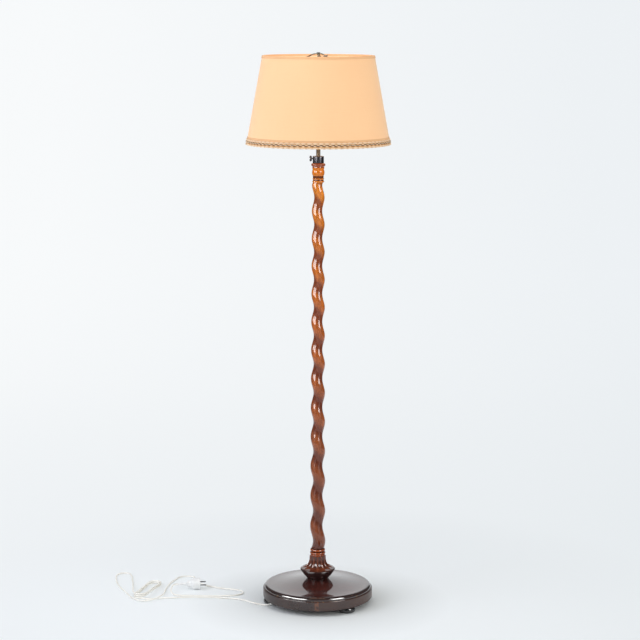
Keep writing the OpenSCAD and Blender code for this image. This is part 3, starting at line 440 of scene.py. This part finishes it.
cordFacts = {  # mm and degrees, as in every piece below
    "thick": 5.2, "low": 2.65, "reliefLong": 28, "reliefRings": 7,
    "hankAt": (-542, 104), "hankTurn": 75, "hankRun": 66, "hankEnd": 19, "hankStep": 6, "loops": 2,
    "plugAt": (-417.5, 122, 18.6), "plugTurn": 6, "plugRoll": 17, "plugR": 18.5, "plugL": 41,
    "fluteDeep": 0.7, "flutes": 12,
    "lead": [(0, 0, 31.5), (-0.6, -0.2, 24.5), (-5, -1.8, 15), (-13.5, -4.8, 8.8), (-26, -9.2, 8),
             (-68, -26, 12.9), (-96, -38, 12.9), (-124, -52, 11.8), (-158, -56, 4.2), (-196, -34, 2.65),
             (-240, 4, 2.65), (-306, 24, 2.65), (-400, 29, 2.65), (-480, 20, 2.65), (-532, 11, 2.65)],
    "tail": [(-584, 55, 13), (-590, 110, 7), (-600, 205, 2.65), (-612, 276, 2.65), (-618.5, 291.5, 2.65),
             (-634, 298, 2.65), (-649.5, 291.5, 2.65), (-656, 276, 2.65), (-655, 225, 2.65),
             (-640, 155, 2.65), (-612, 85, 2.65), (-580, 15, 2.65), (-550, -15, 4), (-519, -12, 7),
             (-497, 16, 9.2), (-489, 50, 5.5), (-486, 110, 2.65), (-479, 168, 2.65), (-463, 222, 2.65),
             (-442, 260, 2.65), (-409, 258, 2.65), (-394, 212, 2.65), (-362, 162, 2.65), (-315, 130, 2.65),
             (-268, 113, 2.65), (-243, 97, 2.65), (-238, 72, 2.65), (-258, 52, 2.65), (-300, 43, 2.65),
             (-400, 45, 2.65), (-436, 47, 2.65), (-457, 57, 4), (-466, 75, 9), (-465, 95, 14),
             (-463, 106.5, 17), (-455.5, 115, 18.4)],
}


def hankLine(c):  # flat turns: two straight runs with a half circle at each end, 24 points a turn
    e = Vector((math.cos(math.radians(c["hankTurn"])), math.sin(math.radians(c["hankTurn"])), 0))  # along
    n = Vector((-e.y, e.x, 0))  # across
    run, end = c["hankRun"], c["hankEnd"]

    def bend(k):
        a = math.radians(k * 22.5)
        return end * math.sin(a), end * math.cos(a)

    def plan(k):
        if k < 4:
            s, o = bend(k)
            return -run - o, s
        if k < 8:
            return -run + (k - 4) * run / 2, end
        if k < 16:
            s, o = bend(k - 8)
            return run + s, o
        if k < 20:
            return run - (k - 16) * run / 2, -end
        s, o = bend(k - 20)
        return -run - s, -o

    def way(a):
        return e * math.sin(math.radians(a)) + n * math.cos(math.radians(a))

    rings = []
    for i in range(c["loops"] * 24 + 3):
        k, loop = i % 24, i // 24
        t = max(0, min(1, (k - 15) / 5))
        a, b = plan(k)
        high = c["low"] + c["hankStep"] * (loop + t * t * (3 - 2 * t))
        rings.append(Vector((*c["hankAt"], 0)) + e * a + n * b + Vector((0, 0, high)))
    return [rings[0] - way(0) * c["thick"]] + rings + [rings[-1] + way(45) * c["thick"]]


def plugMatrix(c):  # lays the plug, modelled upright, on its side
    place = Matrix.Translation(Vector(c["plugAt"]) * mm) @ turned(c["plugTurn"], "Z")
    return place @ turned(90, "Y") @ turned(c["plugRoll"], "Z")


def makeCord(c):
    hank = hankLine(c)
    ahead = Vector((math.cos(math.radians(c["plugTurn"])), math.sin(math.radians(c["plugTurn"])), 0))
    plugAt = Vector(c["plugAt"])
    back = plugAt - ahead * c["reliefLong"]
    route = c["lead"] + hank + c["tail"] + [back, plugAt - ahead * 1.5]
    line = [Vector((p.x, p.y, max(p.z, c["low"]))) * mm for p in smoothLine(route, 5)]
    cord = tubeAlong("mainsCord", line, c["thick"] / 2 * mm, "stand", flexLook)
    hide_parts("cord_lead", "cord_hank", "cord_tail")
    long = sum((b - a).length for a, b in zip(line, line[1:]))
    print("cord", round(long, 4), "m")
    return cord, long


def makeRelief(c):  # tapered sleeve with moulded rings
    thin, wide, long = c["thick"] / 2 + 0.35, c["thick"] / 2 + 3.5, c["reliefLong"]
    outline = [(0, -long + 0.05), (thin - 0.2, -long + 0.05)]
    for i in range(c["reliefRings"]):
        for t, out in ((0.08, 0), (0.2, 0.75), (0.62, 0.75), (0.74, 0)):
            s = (i + t) / c["reliefRings"]
            outline.append((thin + (wide - 1.0 - thin) * s + out * (0.4 + 0.6 * s), -long + long * s))
    outline += [(wide, -0.4), (wide, 0.3), (0, 0.3)]
    mesh = lathe(outline, 40)
    bmesh.ops.transform(mesh, matrix=plugMatrix(c), verts=mesh.verts)
    sleeve = finishMesh(mesh, "plugSleeve", "stand", plugLook, 50)
    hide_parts("plug_relief")
    return sleeve


def makePlug(c):  # round plug with a waisted grip, finger flutes and a sunk face
    r, long = c["plugR"], c["plugL"]
    grip = r * 0.55
    outline = [(0, 0), (grip - 1.2, 0)] + arc(grip - 1.2, 1.2, 1.2, 1.2, -90, 0, 4) + [(grip, 4)]
    outline += [(grip + 0.3, 6), (grip + 0.9, 9)]
    outline += arc(r - 8, long * 0.3 + 8, 7.9, long * 0.2, -62, 0, 10)
    outline += [(r, long * 0.3 + 9.4), (r, long - 7.2), (r - 0.5, long - 6.8), (r - 0.5, long - 6.2)]
    outline += [(r, long - 5.8)] + arc(r - 1.5, long - 1.5, 1.5, 1.5, 0, 90, 5)
    outline += [(r - 3.2, long), (r - 3.6, long - 0.5), (r - 6.4, long - 0.5), (r - 6.8, long), (0, long)]
    mesh = lathe(outline, 96)
    for v in mesh.verts:
        reach, high = math.hypot(v.co.x, v.co.y) / mm, v.co.z / mm
        if reach > 5 and 3 < high < 17:  # flutes for the fingers
            wave = 0.5 + 0.5 * math.cos(c["flutes"] * math.atan2(v.co.y, v.co.x))
            push = c["fluteDeep"] * math.sin(math.pi * (high - 3) / 14) * wave
            v.co.x *= 1 - push / reach
            v.co.y *= 1 - push / reach
    bmesh.ops.transform(mesh, matrix=plugMatrix(c), verts=mesh.verts)
    plug = finishMesh(mesh, "plugShell", "stand", plugLook, 40)
    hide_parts("plug_body")
    return plug


cord, cordLong = makeCord(cordFacts)
sleeve, plug = makeRelief(cordFacts), makePlug(cordFacts)
for name, node, body in (("flexInColumn", "flex_in_column", "stand"), ("flexInStem", "flex_in_stem", "stem")):
    low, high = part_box(node)
    line = [Vector((0, 0, low.z + 0.1 * mm)), Vector((0, 0, high.z - 0.1 * mm))]
    radius = min(high.x - low.x, high.y - low.y) / 2 * 0.98
    inner = tubeAlong(name, line, radius, body, flexLook)
    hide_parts(node)
print("cord and plug")


# base and feet

baseFacts = {
    "r": 170.5, "under": 17.5, "edge": 59, "rise": 17, "seatR": 32.5, "edgeWide": 15.5, "edgeHigh": 9,
    "step": 2, "bevel": 5, "recessR": 34, "recessTop": 46, "web": 8, "socketR": 18.1, "boreR": 8.2,
    "footR": 27, "footHigh": 17.5, "footCircle": 144, "footTurn": -171,
}


def baseLook(b):
    look, surface, place = newLook("baseWood")
    x, y, z = place.axes()
    reach = (x * x + y * y) ** 0.5
    fibres = place.stretched((7, 70, 70)).noise(1.0, 5, 0.6)
    pores = place.stretched((60, 500, 500)).noise(1.0, 2)
    cloud, chips = place.noise(9, 4), place.noise(150, 3, 0.7)
    colour = (fibres * 1.3 - 0.3 + (cloud - 0.5)).held().blend(tint(50, 24, 22), tint(90, 42, 33))
    # painted shade: the moulded edge and the side are darkened
    edge = reach.over((b["r"] - b["edgeWide"] + 1.5) * mm, 2 * mm)
    colour = (edge * 0.8).blend(colour, tint(34, 18, 15))
    stepZ = b["edge"] - b["edgeHigh"]
    rubbed = reach.over((b["r"] - 4) * mm, 4 * mm) * (1 - z.over(stepZ * mm, 3 * mm))
    colour = (rubbed * cloud.over(0.52, 0.25) * 0.6).blend(colour, tint(74, 44, 30))
    joint = (1 - (x + 3 * mm).size().over(6 * mm, 2.5 * mm)) * (1 - y.over(0, 0.1))
    joint = joint * rubbed * chips.over(0.47, 0.2)
    colour = (joint * 0.7).blend(colour, tint(122, 70, 38))  # the side's glued joint shows at the front
    rim = reach.over((b["r"] - 6) * mm, 6 * mm) * z.over((stepZ - 4) * mm, 3 * mm)
    chip = rim * chips.over(0.67, 0.03)
    colour = chip.blend(colour, tint(196, 150, 92))
    worn = pores.over(0.72, 0.05) * 0.4
    colour = worn.blend(colour, tint(16, 8, 6))
    coat = 1.0 - chip * 0.8 - worn * 0.15 - rubbed * 0.55
    rough = 0.32 + cloud * 0.1 + chip * 0.4
    varnish(surface, colour, rough, coat, fibres * 0.5 + pores * 0.5, depth=0.15, gloss=2.2)
    return look


def makeBase(b):
    flat = b["r"] - b["edgeWide"]
    stepZ = b["edge"] - b["edgeHigh"] - b["step"]
    top = b["edge"] + b["rise"]
    wide, bevel = b["edgeWide"] - b["step"] * 2, b["bevel"]
    outline = [(b["recessR"], b["under"])]
    outline += arc(b["r"] - bevel * 0.7, b["under"] + bevel, bevel * 0.7, bevel, -90, 0, 12)
    outline += arc(b["r"] - b["step"], stepZ - b["step"], b["step"], b["step"], 0, 90, 8)
    outline += [(flat + wide + 0.5, stepZ + 0.1), (flat + wide, stepZ + 0.5)]
    outline += arc(flat, stepZ + b["step"], wide, b["edgeHigh"], 0, 90, 18)
    for i in range(1, 41):  # a gentle ogee up to the knop's seat
        t = i / 40
        sweep = (t * t * (3 - 2 * t) + t ** 1.6) / 2
        outline.append((flat - (flat - b["seatR"]) * t, b["edge"] + b["rise"] * sweep))
    socketZ = b["recessTop"] + b["web"]
    outline += [(b["socketR"], top), (b["socketR"], socketZ), (b["boreR"], socketZ),
                (b["boreR"], b["recessTop"]), (b["recessR"], b["recessTop"])]
    base = finishMesh(lathe(outline, 256, ring=True), "turnedBase", "stand", baseLook(b), 30)
    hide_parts("base_disc")


def makeFeet(b):
    flat, half = b["footR"] * 0.72, b["footHigh"] / 2
    outline = [(0, 1.2), (flat * 0.35, 0.6), (flat - 1, 0.05)]
    outline += arc(flat, half, b["footR"] - flat, half, -84, 84, 20)
    outline += [(flat, b["footHigh"]), (0, b["footHigh"])]
    whole = bmesh.new()
    for i in range(3):
        mesh = lathe(outline, 72)
        around = Matrix.Rotation(math.radians(b["footTurn"] + 120 * i), 3, "Z")
        bmesh.ops.translate(mesh, verts=mesh.verts, vec=(b["footCircle"] * mm, 0, 0))
        bmesh.ops.rotate(mesh, verts=mesh.verts, cent=(0, 0, 0), matrix=around)
        part = bpy.data.meshes.new("foot")
        mesh.to_mesh(part)
        mesh.free()
        whole.from_mesh(part)
        bpy.data.meshes.remove(part)
    feet = finishMesh(whole, "bunFeet", "stand", rubberLook, 40)
    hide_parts("bun_feet")


makeBase(baseFacts)
makeFeet(baseFacts)
print("base and feet")


# carved knop

knopFacts = {
    "low": 76, "high": 73, "wide": 54.3, "foot": 32.5, "neck": 25, "flutes": 12, "depth": 3,
    "bore": 8.2, "socketR": 14.1, "socketDeep": 12.3, "tenonR": 18, "tenonLong": 21.7,
}


def fluteShape(a, flutes):  # 0 on the ridge between two flutes, 1 in the middle of one
    t = abs(math.sin(a * flutes / 2))
    return 1 - (1 - t) ** 2


def knopLook(k):
    look, surface, place = newLook("knopWood")
    x, y, z = place.axes()
    hollow = 1 - (1 - (place.maths("ARCTAN2", y, x) * (k["flutes"] / 2)).sine().size()) ** 2
    fibres, pores = grainOf(place, 60, 8)
    cloud = place.noise(30, 3)
    up = ((z - k["low"] * mm) / (k["high"] * mm)).held()
    tone = (fibres * 1.2 - 0.2 + (cloud - 0.5) * 0.8).held()
    colour = tone.blend(tint(88, 38, 23), tint(138, 70, 36))
    # darker in the flutes: part stain gathered there, part painted shade in the hollows
    stainAndShade = hollow.over(0.78, 0.5) * up.over(0.5, 0.12)
    colour = (stainAndShade * 0.78).blend(colour, tint(48, 18, 12))
    # painted shade: the underside below the widest part is darkened
    colour = (1 - up.over(0.46, 0.07)).blend(colour, tint(42, 17, 14))
    worn = pores.over(0.7, 0.05) * 0.3
    grain = fibres * 0.6 + pores * 0.4
    varnish(surface, worn.blend(colour, tint(24, 10, 8)), 0.32 + pores * 0.1, 1.0 - worn * 0.3, grain)
    return look


def makeKnop(k):
    low, h, wide, foot, neck = k["low"], k["high"], k["wide"], k["foot"], k["neck"]
    bowl, shoulder = wide - foot, wide - neck
    rough = [(foot, 0), (foot + bowl * 0.26, h * 0.093), (foot + bowl * 0.53, h * 0.185),
             (foot + bowl * 0.75, h * 0.28), (wide - 1.2, h * 0.36), (wide, h * 0.405),
             (wide - 1.8, h * 0.44), (neck + shoulder * 0.76, h * 0.472), (neck + shoulder * 0.51, h * 0.515),
             (neck + shoulder * 0.3, h * 0.575), (neck + shoulder * 0.14, h * 0.66),
             (neck + 1.2, h * 0.78), (neck, h)]
    line = [(p.x, low + p.y) for p in smoothLine([(r, z, 0) for r, z in rough], 6)]
    socketZ, tenonZ = low + h - k["socketDeep"], low - k["tenonLong"]
    inside = [(k["socketR"], low + h), (k["socketR"], socketZ), (k["bore"], socketZ),
              (k["bore"], tenonZ), (k["tenonR"], tenonZ), (k["tenonR"], low)]
    mesh = lathe(line + inside, 180, ring=True)
    mesh.normal_update()
    moves = []
    for v in mesh.verts:
        reach, z = math.hypot(v.co.x, v.co.y) / mm, v.co.z / mm - low
        t = max(0, min(1, (z / h - 0.43) / 0.12))  # the flutes start on the shoulder
        if reach > neck - 1 and t > 0:
            deep = k["depth"] * t * t * (3 - 2 * t) * fluteShape(math.atan2(v.co.y, v.co.x), k["flutes"])
            way = v.normal if z < h - 0.01 else Vector((v.co.x, v.co.y, 0)).normalized()
            moves.append((v, way * deep * mm))
    for v, way in moves:
        v.co -= way
    knop = finishMesh(mesh, "carvedKnop", "stand", knopLook(k), 42)
    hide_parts("carved_knop")


makeKnop(knopFacts)
print("knop")


# twisted column and capital

columnFacts = {  # the twist's circle tapers from rLow to rTop, and stands offLow to offTop off the axis
    "neck": 149, "bead": 15, "beadR": 24.2, "tenonR": 14, "low": 164, "high": 1153, "rLow": 19.8,
    "rTop": 15.7, "offLow": 4.5, "offTop": 3.6, "pitchLow": 97.8, "pitchTop": 81.6, "start": 154,
    "sides": 64, "perTurn": 40,
}
capitalFacts = {"low": 1317, "high": 58.3, "rollR": 21.7, "barrelR": 19.1, "grooveR": 16.4, "bore": 8.2}


def columnLook(c):
    look, surface, place = newLook("columnWood")
    x, y, z = place.axes()
    up = ((z - c["low"] * mm) / (c["high"] * mm)).held()
    reach = (x * x + y * y) ** 0.5
    thick = c["rLow"] * mm + up * ((c["rTop"] - c["rLow"]) * mm)
    off = c["offLow"] * mm + up * ((c["offTop"] - c["offLow"]) * mm)
    crest = ((reach - thick + off) / (off * 2)).held()
    fibres, pores = grainOf(place, 70, 5)
    cloud = place.stretched((30, 30, 9)).noise(1.0, 4)
    # lighter on the crest and darker in the valley: part stain, part painted shade; both ramps also run
    # darker and redder towards the bottom
    hill = (crest + (cloud - 0.5) * 0.8).over(0.42, 0.6)
    crestStops = [(0, tint(134, 72, 44)), (0.3, tint(158, 84, 40)), (0.6, tint(196, 102, 34)),
                  (0.86, tint(228, 128, 36)), (1, tint(246, 150, 44))]
    valleyStops = [(0, tint(92, 46, 31)), (0.4, tint(114, 54, 32)), (0.8, tint(148, 72, 34)),
                   (1, tint(170, 88, 36))]
    crestColour = up.node("ValToRGB", {"stops": crestStops}, {0: up})
    valleyColour = up.node("ValToRGB", {"stops": valleyStops}, {0: up})
    colour = hill.blend(valleyColour, crestColour)
    streak = fibres.over(0.42, 0.3) * 0.45
    colour = streak.blend(colour, tint(88, 34, 18))
    worn = pores.over(0.7, 0.06) * 0.3
    colour = worn.blend(colour, tint(50, 20, 12))
    varnish(surface, colour, 0.3 + pores * 0.12, 1.0 - worn * 0.3, fibres * 0.6 + pores * 0.4)
    return look


def makeColumn(c):  # one circle swept up off the axis, with a pitch that shrinks evenly
    rate = (c["pitchTop"] - c["pitchLow"]) / c["high"]

    def turnsAt(h):
        return math.log(1 + rate * h / c["pitchLow"]) / rate

    turns = turnsAt(c["high"])
    steps = round(turns * c["perTurn"])
    mesh = bmesh.new()
    ring = bmesh.ops.create_circle(mesh, cap_ends=False, segments=c["sides"], radius=1)["verts"]
    edges, at = list(mesh.edges), (1.0, Vector((0, 0, 0)))
    for i in range(steps + 1):
        h = c["high"] * i / steps
        t = h / c["high"]
        r = (c["rLow"] + (c["rTop"] - c["rLow"]) * t) * mm
        runOut = min(1, (h + 4) / 14, (c["high"] - h + 2) / 10)  # the twist dies out towards both ends
        off = (c["offLow"] + (c["offTop"] - c["offLow"]) * t) * runOut * mm
        rib = math.radians(c["start"]) + turn * (turns - turnsAt(h))
        centre = Vector((off * math.cos(rib), off * math.sin(rib), (c["low"] + h) * mm))
        if i:
            grown = bmesh.ops.extrude_edge_only(mesh, edges=edges)["geom"]
            ring = [g for g in grown if isinstance(g, bmesh.types.BMVert)]
            edges = [g for g in grown if isinstance(g, bmesh.types.BMEdge)]
            edges = [e for e in edges if all(v in set(ring) for v in e.verts)]
        bmesh.ops.translate(mesh, verts=ring, vec=-at[1])
        bmesh.ops.scale(mesh, verts=ring, vec=(r / at[0], r / at[0], 1))
        bmesh.ops.translate(mesh, verts=ring, vec=centre)
        at = (r, centre)
    ends = [e for e in mesh.edges if e.is_boundary]
    bmesh.ops.holes_fill(mesh, edges=ends)
    bmesh.ops.recalc_face_normals(mesh, faces=mesh.faces)
    column = finishMesh(mesh, "twistColumn", "stand", columnLook(c), 40)
    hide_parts("twist_column")
    g = c["beadR"] - 3.4
    n, top = c["neck"], c["low"]
    outline = [(c["tenonR"], n), (c["beadR"] - 1.5, n)] + arc(g - 0.4, n + 2.6, 2.4, 2.4, -60, 60, 8)
    outline += arc(g, n + c["bead"] * 0.57, 3.4, 3.4, -75, 75, 14)
    outline += [(g - 0.6, top - 2.4)] + arc(g - 0.8, top + 3, 3.4, 3.8, -75, 75, 14)
    outline += [(g - 2, top + 8.4), (c["tenonR"], top + 8.4)]
    bead = finishMesh(lathe(outline, 128, ring=True), "columnBeads", "stand", beadWoodLook, 35)
    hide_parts("twist_column")


def capitalLook(c):
    look, surface, place = newLook("capitalWood")
    x, y, z = place.axes()
    reach = (x * x + y * y) ** 0.5
    up = (z - c["low"] * mm) / (c["high"] * mm)
    fibres, pores = grainOf(place, 70, 6)
    cloud = place.noise(26, 3)
    tone = (fibres * 1.4 - 0.35 + (cloud - 0.5) * 0.9).held()
    colour = tone.blend(tint(200, 106, 18), tint(230, 142, 20))
    roll = (up + (cloud - 0.5) * 0.06).over(0.76, 0.05)
    colour = roll.blend(colour, tone.blend(tint(126, 60, 32), tint(164, 84, 42)))
    # darker and less glossy in the grooves: part stain gathered there, part painted shade where the grooves
    # are shut off from light
    stainAndShade = ((c["grooveR"] + 1) * mm - reach).over(0.5 * mm, 0.8 * mm)
    colour = (stainAndShade * 0.9).blend(colour, tint(74, 30, 18))
    worn = pores.over(0.7, 0.05) * 0.3
    coat = 1.0 - worn * 0.3 - stainAndShade * 0.7
    varnish(surface, worn.blend(colour, tint(90, 40, 20)), 0.34 + pores * 0.12, coat,
            fibres * 0.6 + pores * 0.4)
    return look


def makeCapital(c):
    z, h, g = c["low"], c["high"], c["grooveR"]
    shoulder, barrel, roll = g + 1.8, c["barrelR"], c["rollR"]
    outline = [(c["bore"], z), (shoulder - 0.8, z), (shoulder - 0.2, z + 0.4), (shoulder, z + 1.2)]
    outline += [(shoulder - 0.4, z + 3), (g, z + 5.2)]
    outline += arc(g - 1, z + h * 0.175, 2.2, 2.4, -75, 75, 12)
    outline += [(g, z + h * 0.26), (g - 0.2, z + h * 0.3)]
    outline += arc(barrel - 3, z + h * 0.505, 3, h * 0.155, -70, 70, 18)
    outline += [(barrel - 1, z + h * 0.7), (barrel - 0.7, z + h * 0.76)]
    outline += arc(roll - 5.4, z + h - 5.4, 5.4, 5.4, -75, 90, 18) + [(c["bore"], z + h)]
    mesh = lathe(outline, 128, ring=True)
    capital = finishMesh(mesh, "turnedCapital", "stand", capitalLook(c), 35)
    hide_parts("column_capital")


makeColumn(columnFacts)
makeCapital(capitalFacts)
print("column and capital")


# collar and screw

collarFacts = {"low": 1375.3, "high": 21, "r": 17, "fillet": 1.6, "bore": 6.95}
screwFacts = {
    "axisZ": 1388.7, "inner": 16, "outer": 26.8, "shankR": 2.3, "bossR": 3.4, "wingHigh": 5.0,
    "wingLong": 3.7, "wingThick": 1.9, "wingTurn": 8,
}


def makeCollar(c):
    z, top, r, f = c["low"], c["low"] + c["high"], c["r"], c["fillet"]
    outline = [(c["bore"], z), (r - f, z)]
    outline += arc(r - f, z + f, f, f, -90, 0, 8) + arc(r - f, top - f, f, f, 0, 90, 8)
    outline += [(r - f - 3.4, top), (r - f - 3.8, top - 0.5), (c["bore"] + 1.0, top - 0.5),
                (c["bore"], top - 1.1)]
    mesh = lathe(outline, 128, ring=True)
    collar = finishMesh(mesh, "clampCollar", "stand", nickelLook, 35)
    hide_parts("clamp_collar")


def makeScrew(c):  # small winged screw, turned along its own axis, then laid level
    outer, boss = c["outer"], c["bossR"]
    outline = [(0, c["inner"]), (c["shankR"], c["inner"]), (c["shankR"], outer - 6.4)]
    outline += [(boss - 0.6, outer - 6.3), (boss, outer - 5.6), (boss - 0.2, outer - 4)]
    outline += [(boss - 1.1, outer - 3.2), (0, outer - 3)]
    mesh = lathe(outline, 48)
    for side in (-1, 1):
        wing = bmesh.ops.create_uvsphere(mesh, u_segments=32, v_segments=20, radius=1)["verts"]
        lean = Matrix.Rotation(math.radians(-c["wingTurn"] * side), 3, "Y")
        at = Vector((side * c["wingHigh"] * 0.8, 0, outer - c["wingLong"])) * mm
        bmesh.ops.scale(mesh, verts=wing, vec=(c["wingHigh"] * mm, c["wingThick"] * mm, c["wingLong"] * mm))
        bmesh.ops.rotate(mesh, verts=wing, cent=(0, 0, 0), matrix=lean)
        bmesh.ops.translate(mesh, verts=wing, vec=at)
    level = Matrix.Translation((0, 0, c["axisZ"] * mm)) @ turned(-90, "Y")
    bmesh.ops.transform(mesh, verts=mesh.verts, matrix=level)
    screw = finishMesh(mesh, "wingedScrew", "screw", nickelLook, 45)
    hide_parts("thumbscrew")


makeScrew(screwFacts)
makeCollar(collarFacts)
print("collar and screw")


# shade

shadeFacts = {
    "hem": 1431.3, "rim": 1699.3, "topR": 169.5, "lowR": 218.2, "fabric": 1.0, "lining": 0.5,
    "liningGap": 1.1, "braidHigh": 18.6, "bandFrom": 19, "bandHigh": 6, "bindHigh": 8, "ringR": 166.4,
    "ringDrop": 2.8, "loops": 78, "perLoop": 16, "plyApart": 0.45,
}


def shadeR(s, z):  # the cone's outer radius at a height
    return s["lowR"] - (s["lowR"] - s["topR"]) * (z - s["hem"]) / (s["rim"] - s["hem"])


def coneRing(s, out, thick, low, high, rows=24, soft=0.0):  # a band round the cone, soft: how far it bulges
    outer, inner = [], []
    for i in range(rows + 1):
        z = low + (high - low) * i / rows
        puff = soft * math.sin(math.pi * i / rows) ** 0.5 if soft else 0
        outer.append((shadeR(s, z) + out + puff, z))
        inner.append((shadeR(s, z) + out - thick, z))
    return lathe(outer + inner[::-1], 180, ring=True)


def makeShade(s):
    hem, rim, low, rimR = s["hem"], s["rim"], s["rim"] - s["bindHigh"], shadeR(s, s["rim"])
    mesh = coneRing(s, 0, s["fabric"], hem + 0.6, rim - 0.6)
    fabric = finishMesh(mesh, "shadeCloth", "shade", shadeLook, 50)
    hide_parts("shade_fabric")
    mesh = coneRing(s, -s["liningGap"], s["lining"], hem + 0.6, rim - 0.6)
    lining = finishMesh(mesh, "shadeLining", "shade", liningLook, 50)
    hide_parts("shade_lining")
    # the binding is folded over the rim and its wire
    outline = [(shadeR(s, low) + 0.1, low), (shadeR(s, low) + 0.75, low + 0.2),
               (shadeR(s, low + 2) + 0.95, low + 2), (shadeR(s, rim - 2) + 0.95, rim - 2),
               (rimR + 0.75, rim - 0.6), (rimR - 0.8, rim), (rimR - 1.9, rim - 0.1)]
    outline += arc(s["ringR"], rim - s["ringDrop"], 2.5, 2.5, 75, 262, 10)
    outline += [(rimR - 1.7, rim - 5), (rimR - 1.7, rim - 0.55), (rimR + 0.1, rim - 0.55)]
    mesh = lathe(outline, 180, ring=True)
    binding = finishMesh(mesh, "rimBinding", "shade", bindingLook, 60)
    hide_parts("rim_binding")
    mesh = coneRing(s, 0.8, 0.7, hem + s["bandFrom"], hem + s["bandFrom"] + s["bandHigh"], rows=6, soft=0.3)
    band = finishMesh(mesh, "hemBand", "shade", bandLook, 60)
    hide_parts("hem_band")
    mesh = coneRing(s, 1.0, 0.9, hem + 0.8, hem + s["braidHigh"], rows=8)
    tape = finishMesh(mesh, "braidTape", "shade", tapeLook, 50)
    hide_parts("hem_braid")


def makeBraid(s):
    rows = (  # name, look, thickness, height, sway, how proud, side, how thin at the crossings
        ("braidTopLoops", palePlyLook, 1.25, 16.4, 1.5, 1.7, 1, 0.45),
        ("braidTopLoopsBack", palePlyLook, 1.25, 16.4, 1.5, 1.7, -1, 0.45),
        ("braidRopeOne", darkPlyLook, 1.4, 10.6, 1.4, 2.1, 1, 0.6),
        ("braidRopeTwo", palePlyLook, 1.2, 10.6, 1.4, 2.1, -1, 0.5),
        ("braidLowLoops", palePlyLook, 1.3, 3.2, 1.5, 1.8, 1, 0.4),
        ("braidLowLoopsBack", palePlyLook, 1.3, 3.2, 1.5, 1.8, -1, 0.4),
    )
    points = s["loops"] * s["perLoop"]
    for name, look, thick, height, sway, proud, side, thin in rows:
        often = s["loops"] if "Rope" in name else s["loops"] / 2  # two strands of loops cross once a loop
        line, swell = [], []
        for i in range(points):
            a = turn * i / points
            wave = math.cos(often * a)
            z = s["hem"] + height + sway * side * wave
            r = shadeR(s, z) + (proud + s["plyApart"] * side * math.sin(often * a))
            line.append(Vector((r * math.cos(a), r * math.sin(a), z)) * mm)
            swell.append(thin + (1 - thin) * wave ** 2)
        tubeAlong(name, line, thick * mm, "shade", look, closed=True, sides=1, swell=swell)


makeShade(shadeFacts)
makeBraid(shadeFacts)
print("shade")


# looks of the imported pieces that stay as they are

nodeLooks = {
    "foot_screws": steelLook, "tie_tube": steelLook, "tie_nut": steelLook, "tie_washer": steelLook,
    "lead_bush": bushLook, "lead_clip": bushLook, "clip_screw": steelLook, "guide_bush": brassLook,
    "clamp_pad": brassLook, "stop_ring": brassLook, "stem_tube": agedLook, "stem_end_bush": bushLook,
    "stem_locknut": brassLook, "harp_saddle": wireLook, "shade_harp": wireLook, "holder_cap": brassLook,
    "holder_shell": brassLook, "holder_core": porcelainLook, "holder_contacts": brassLook,
    "switch_key": keyLook, "bulb_cap": steelLook, "bulb_glass": opalLook, "shade_spider": wireLook,
    "harp_finial": wireLook, "lower_ring": steelLook, "plug_pins": pinLook,
}
for name, look in nodeLooks.items():
    node = nodes[name]
    if not node.material_slots:
        node.data.materials.append(look)
    for place in node.material_slots:
        place.material = look
print("node looks")
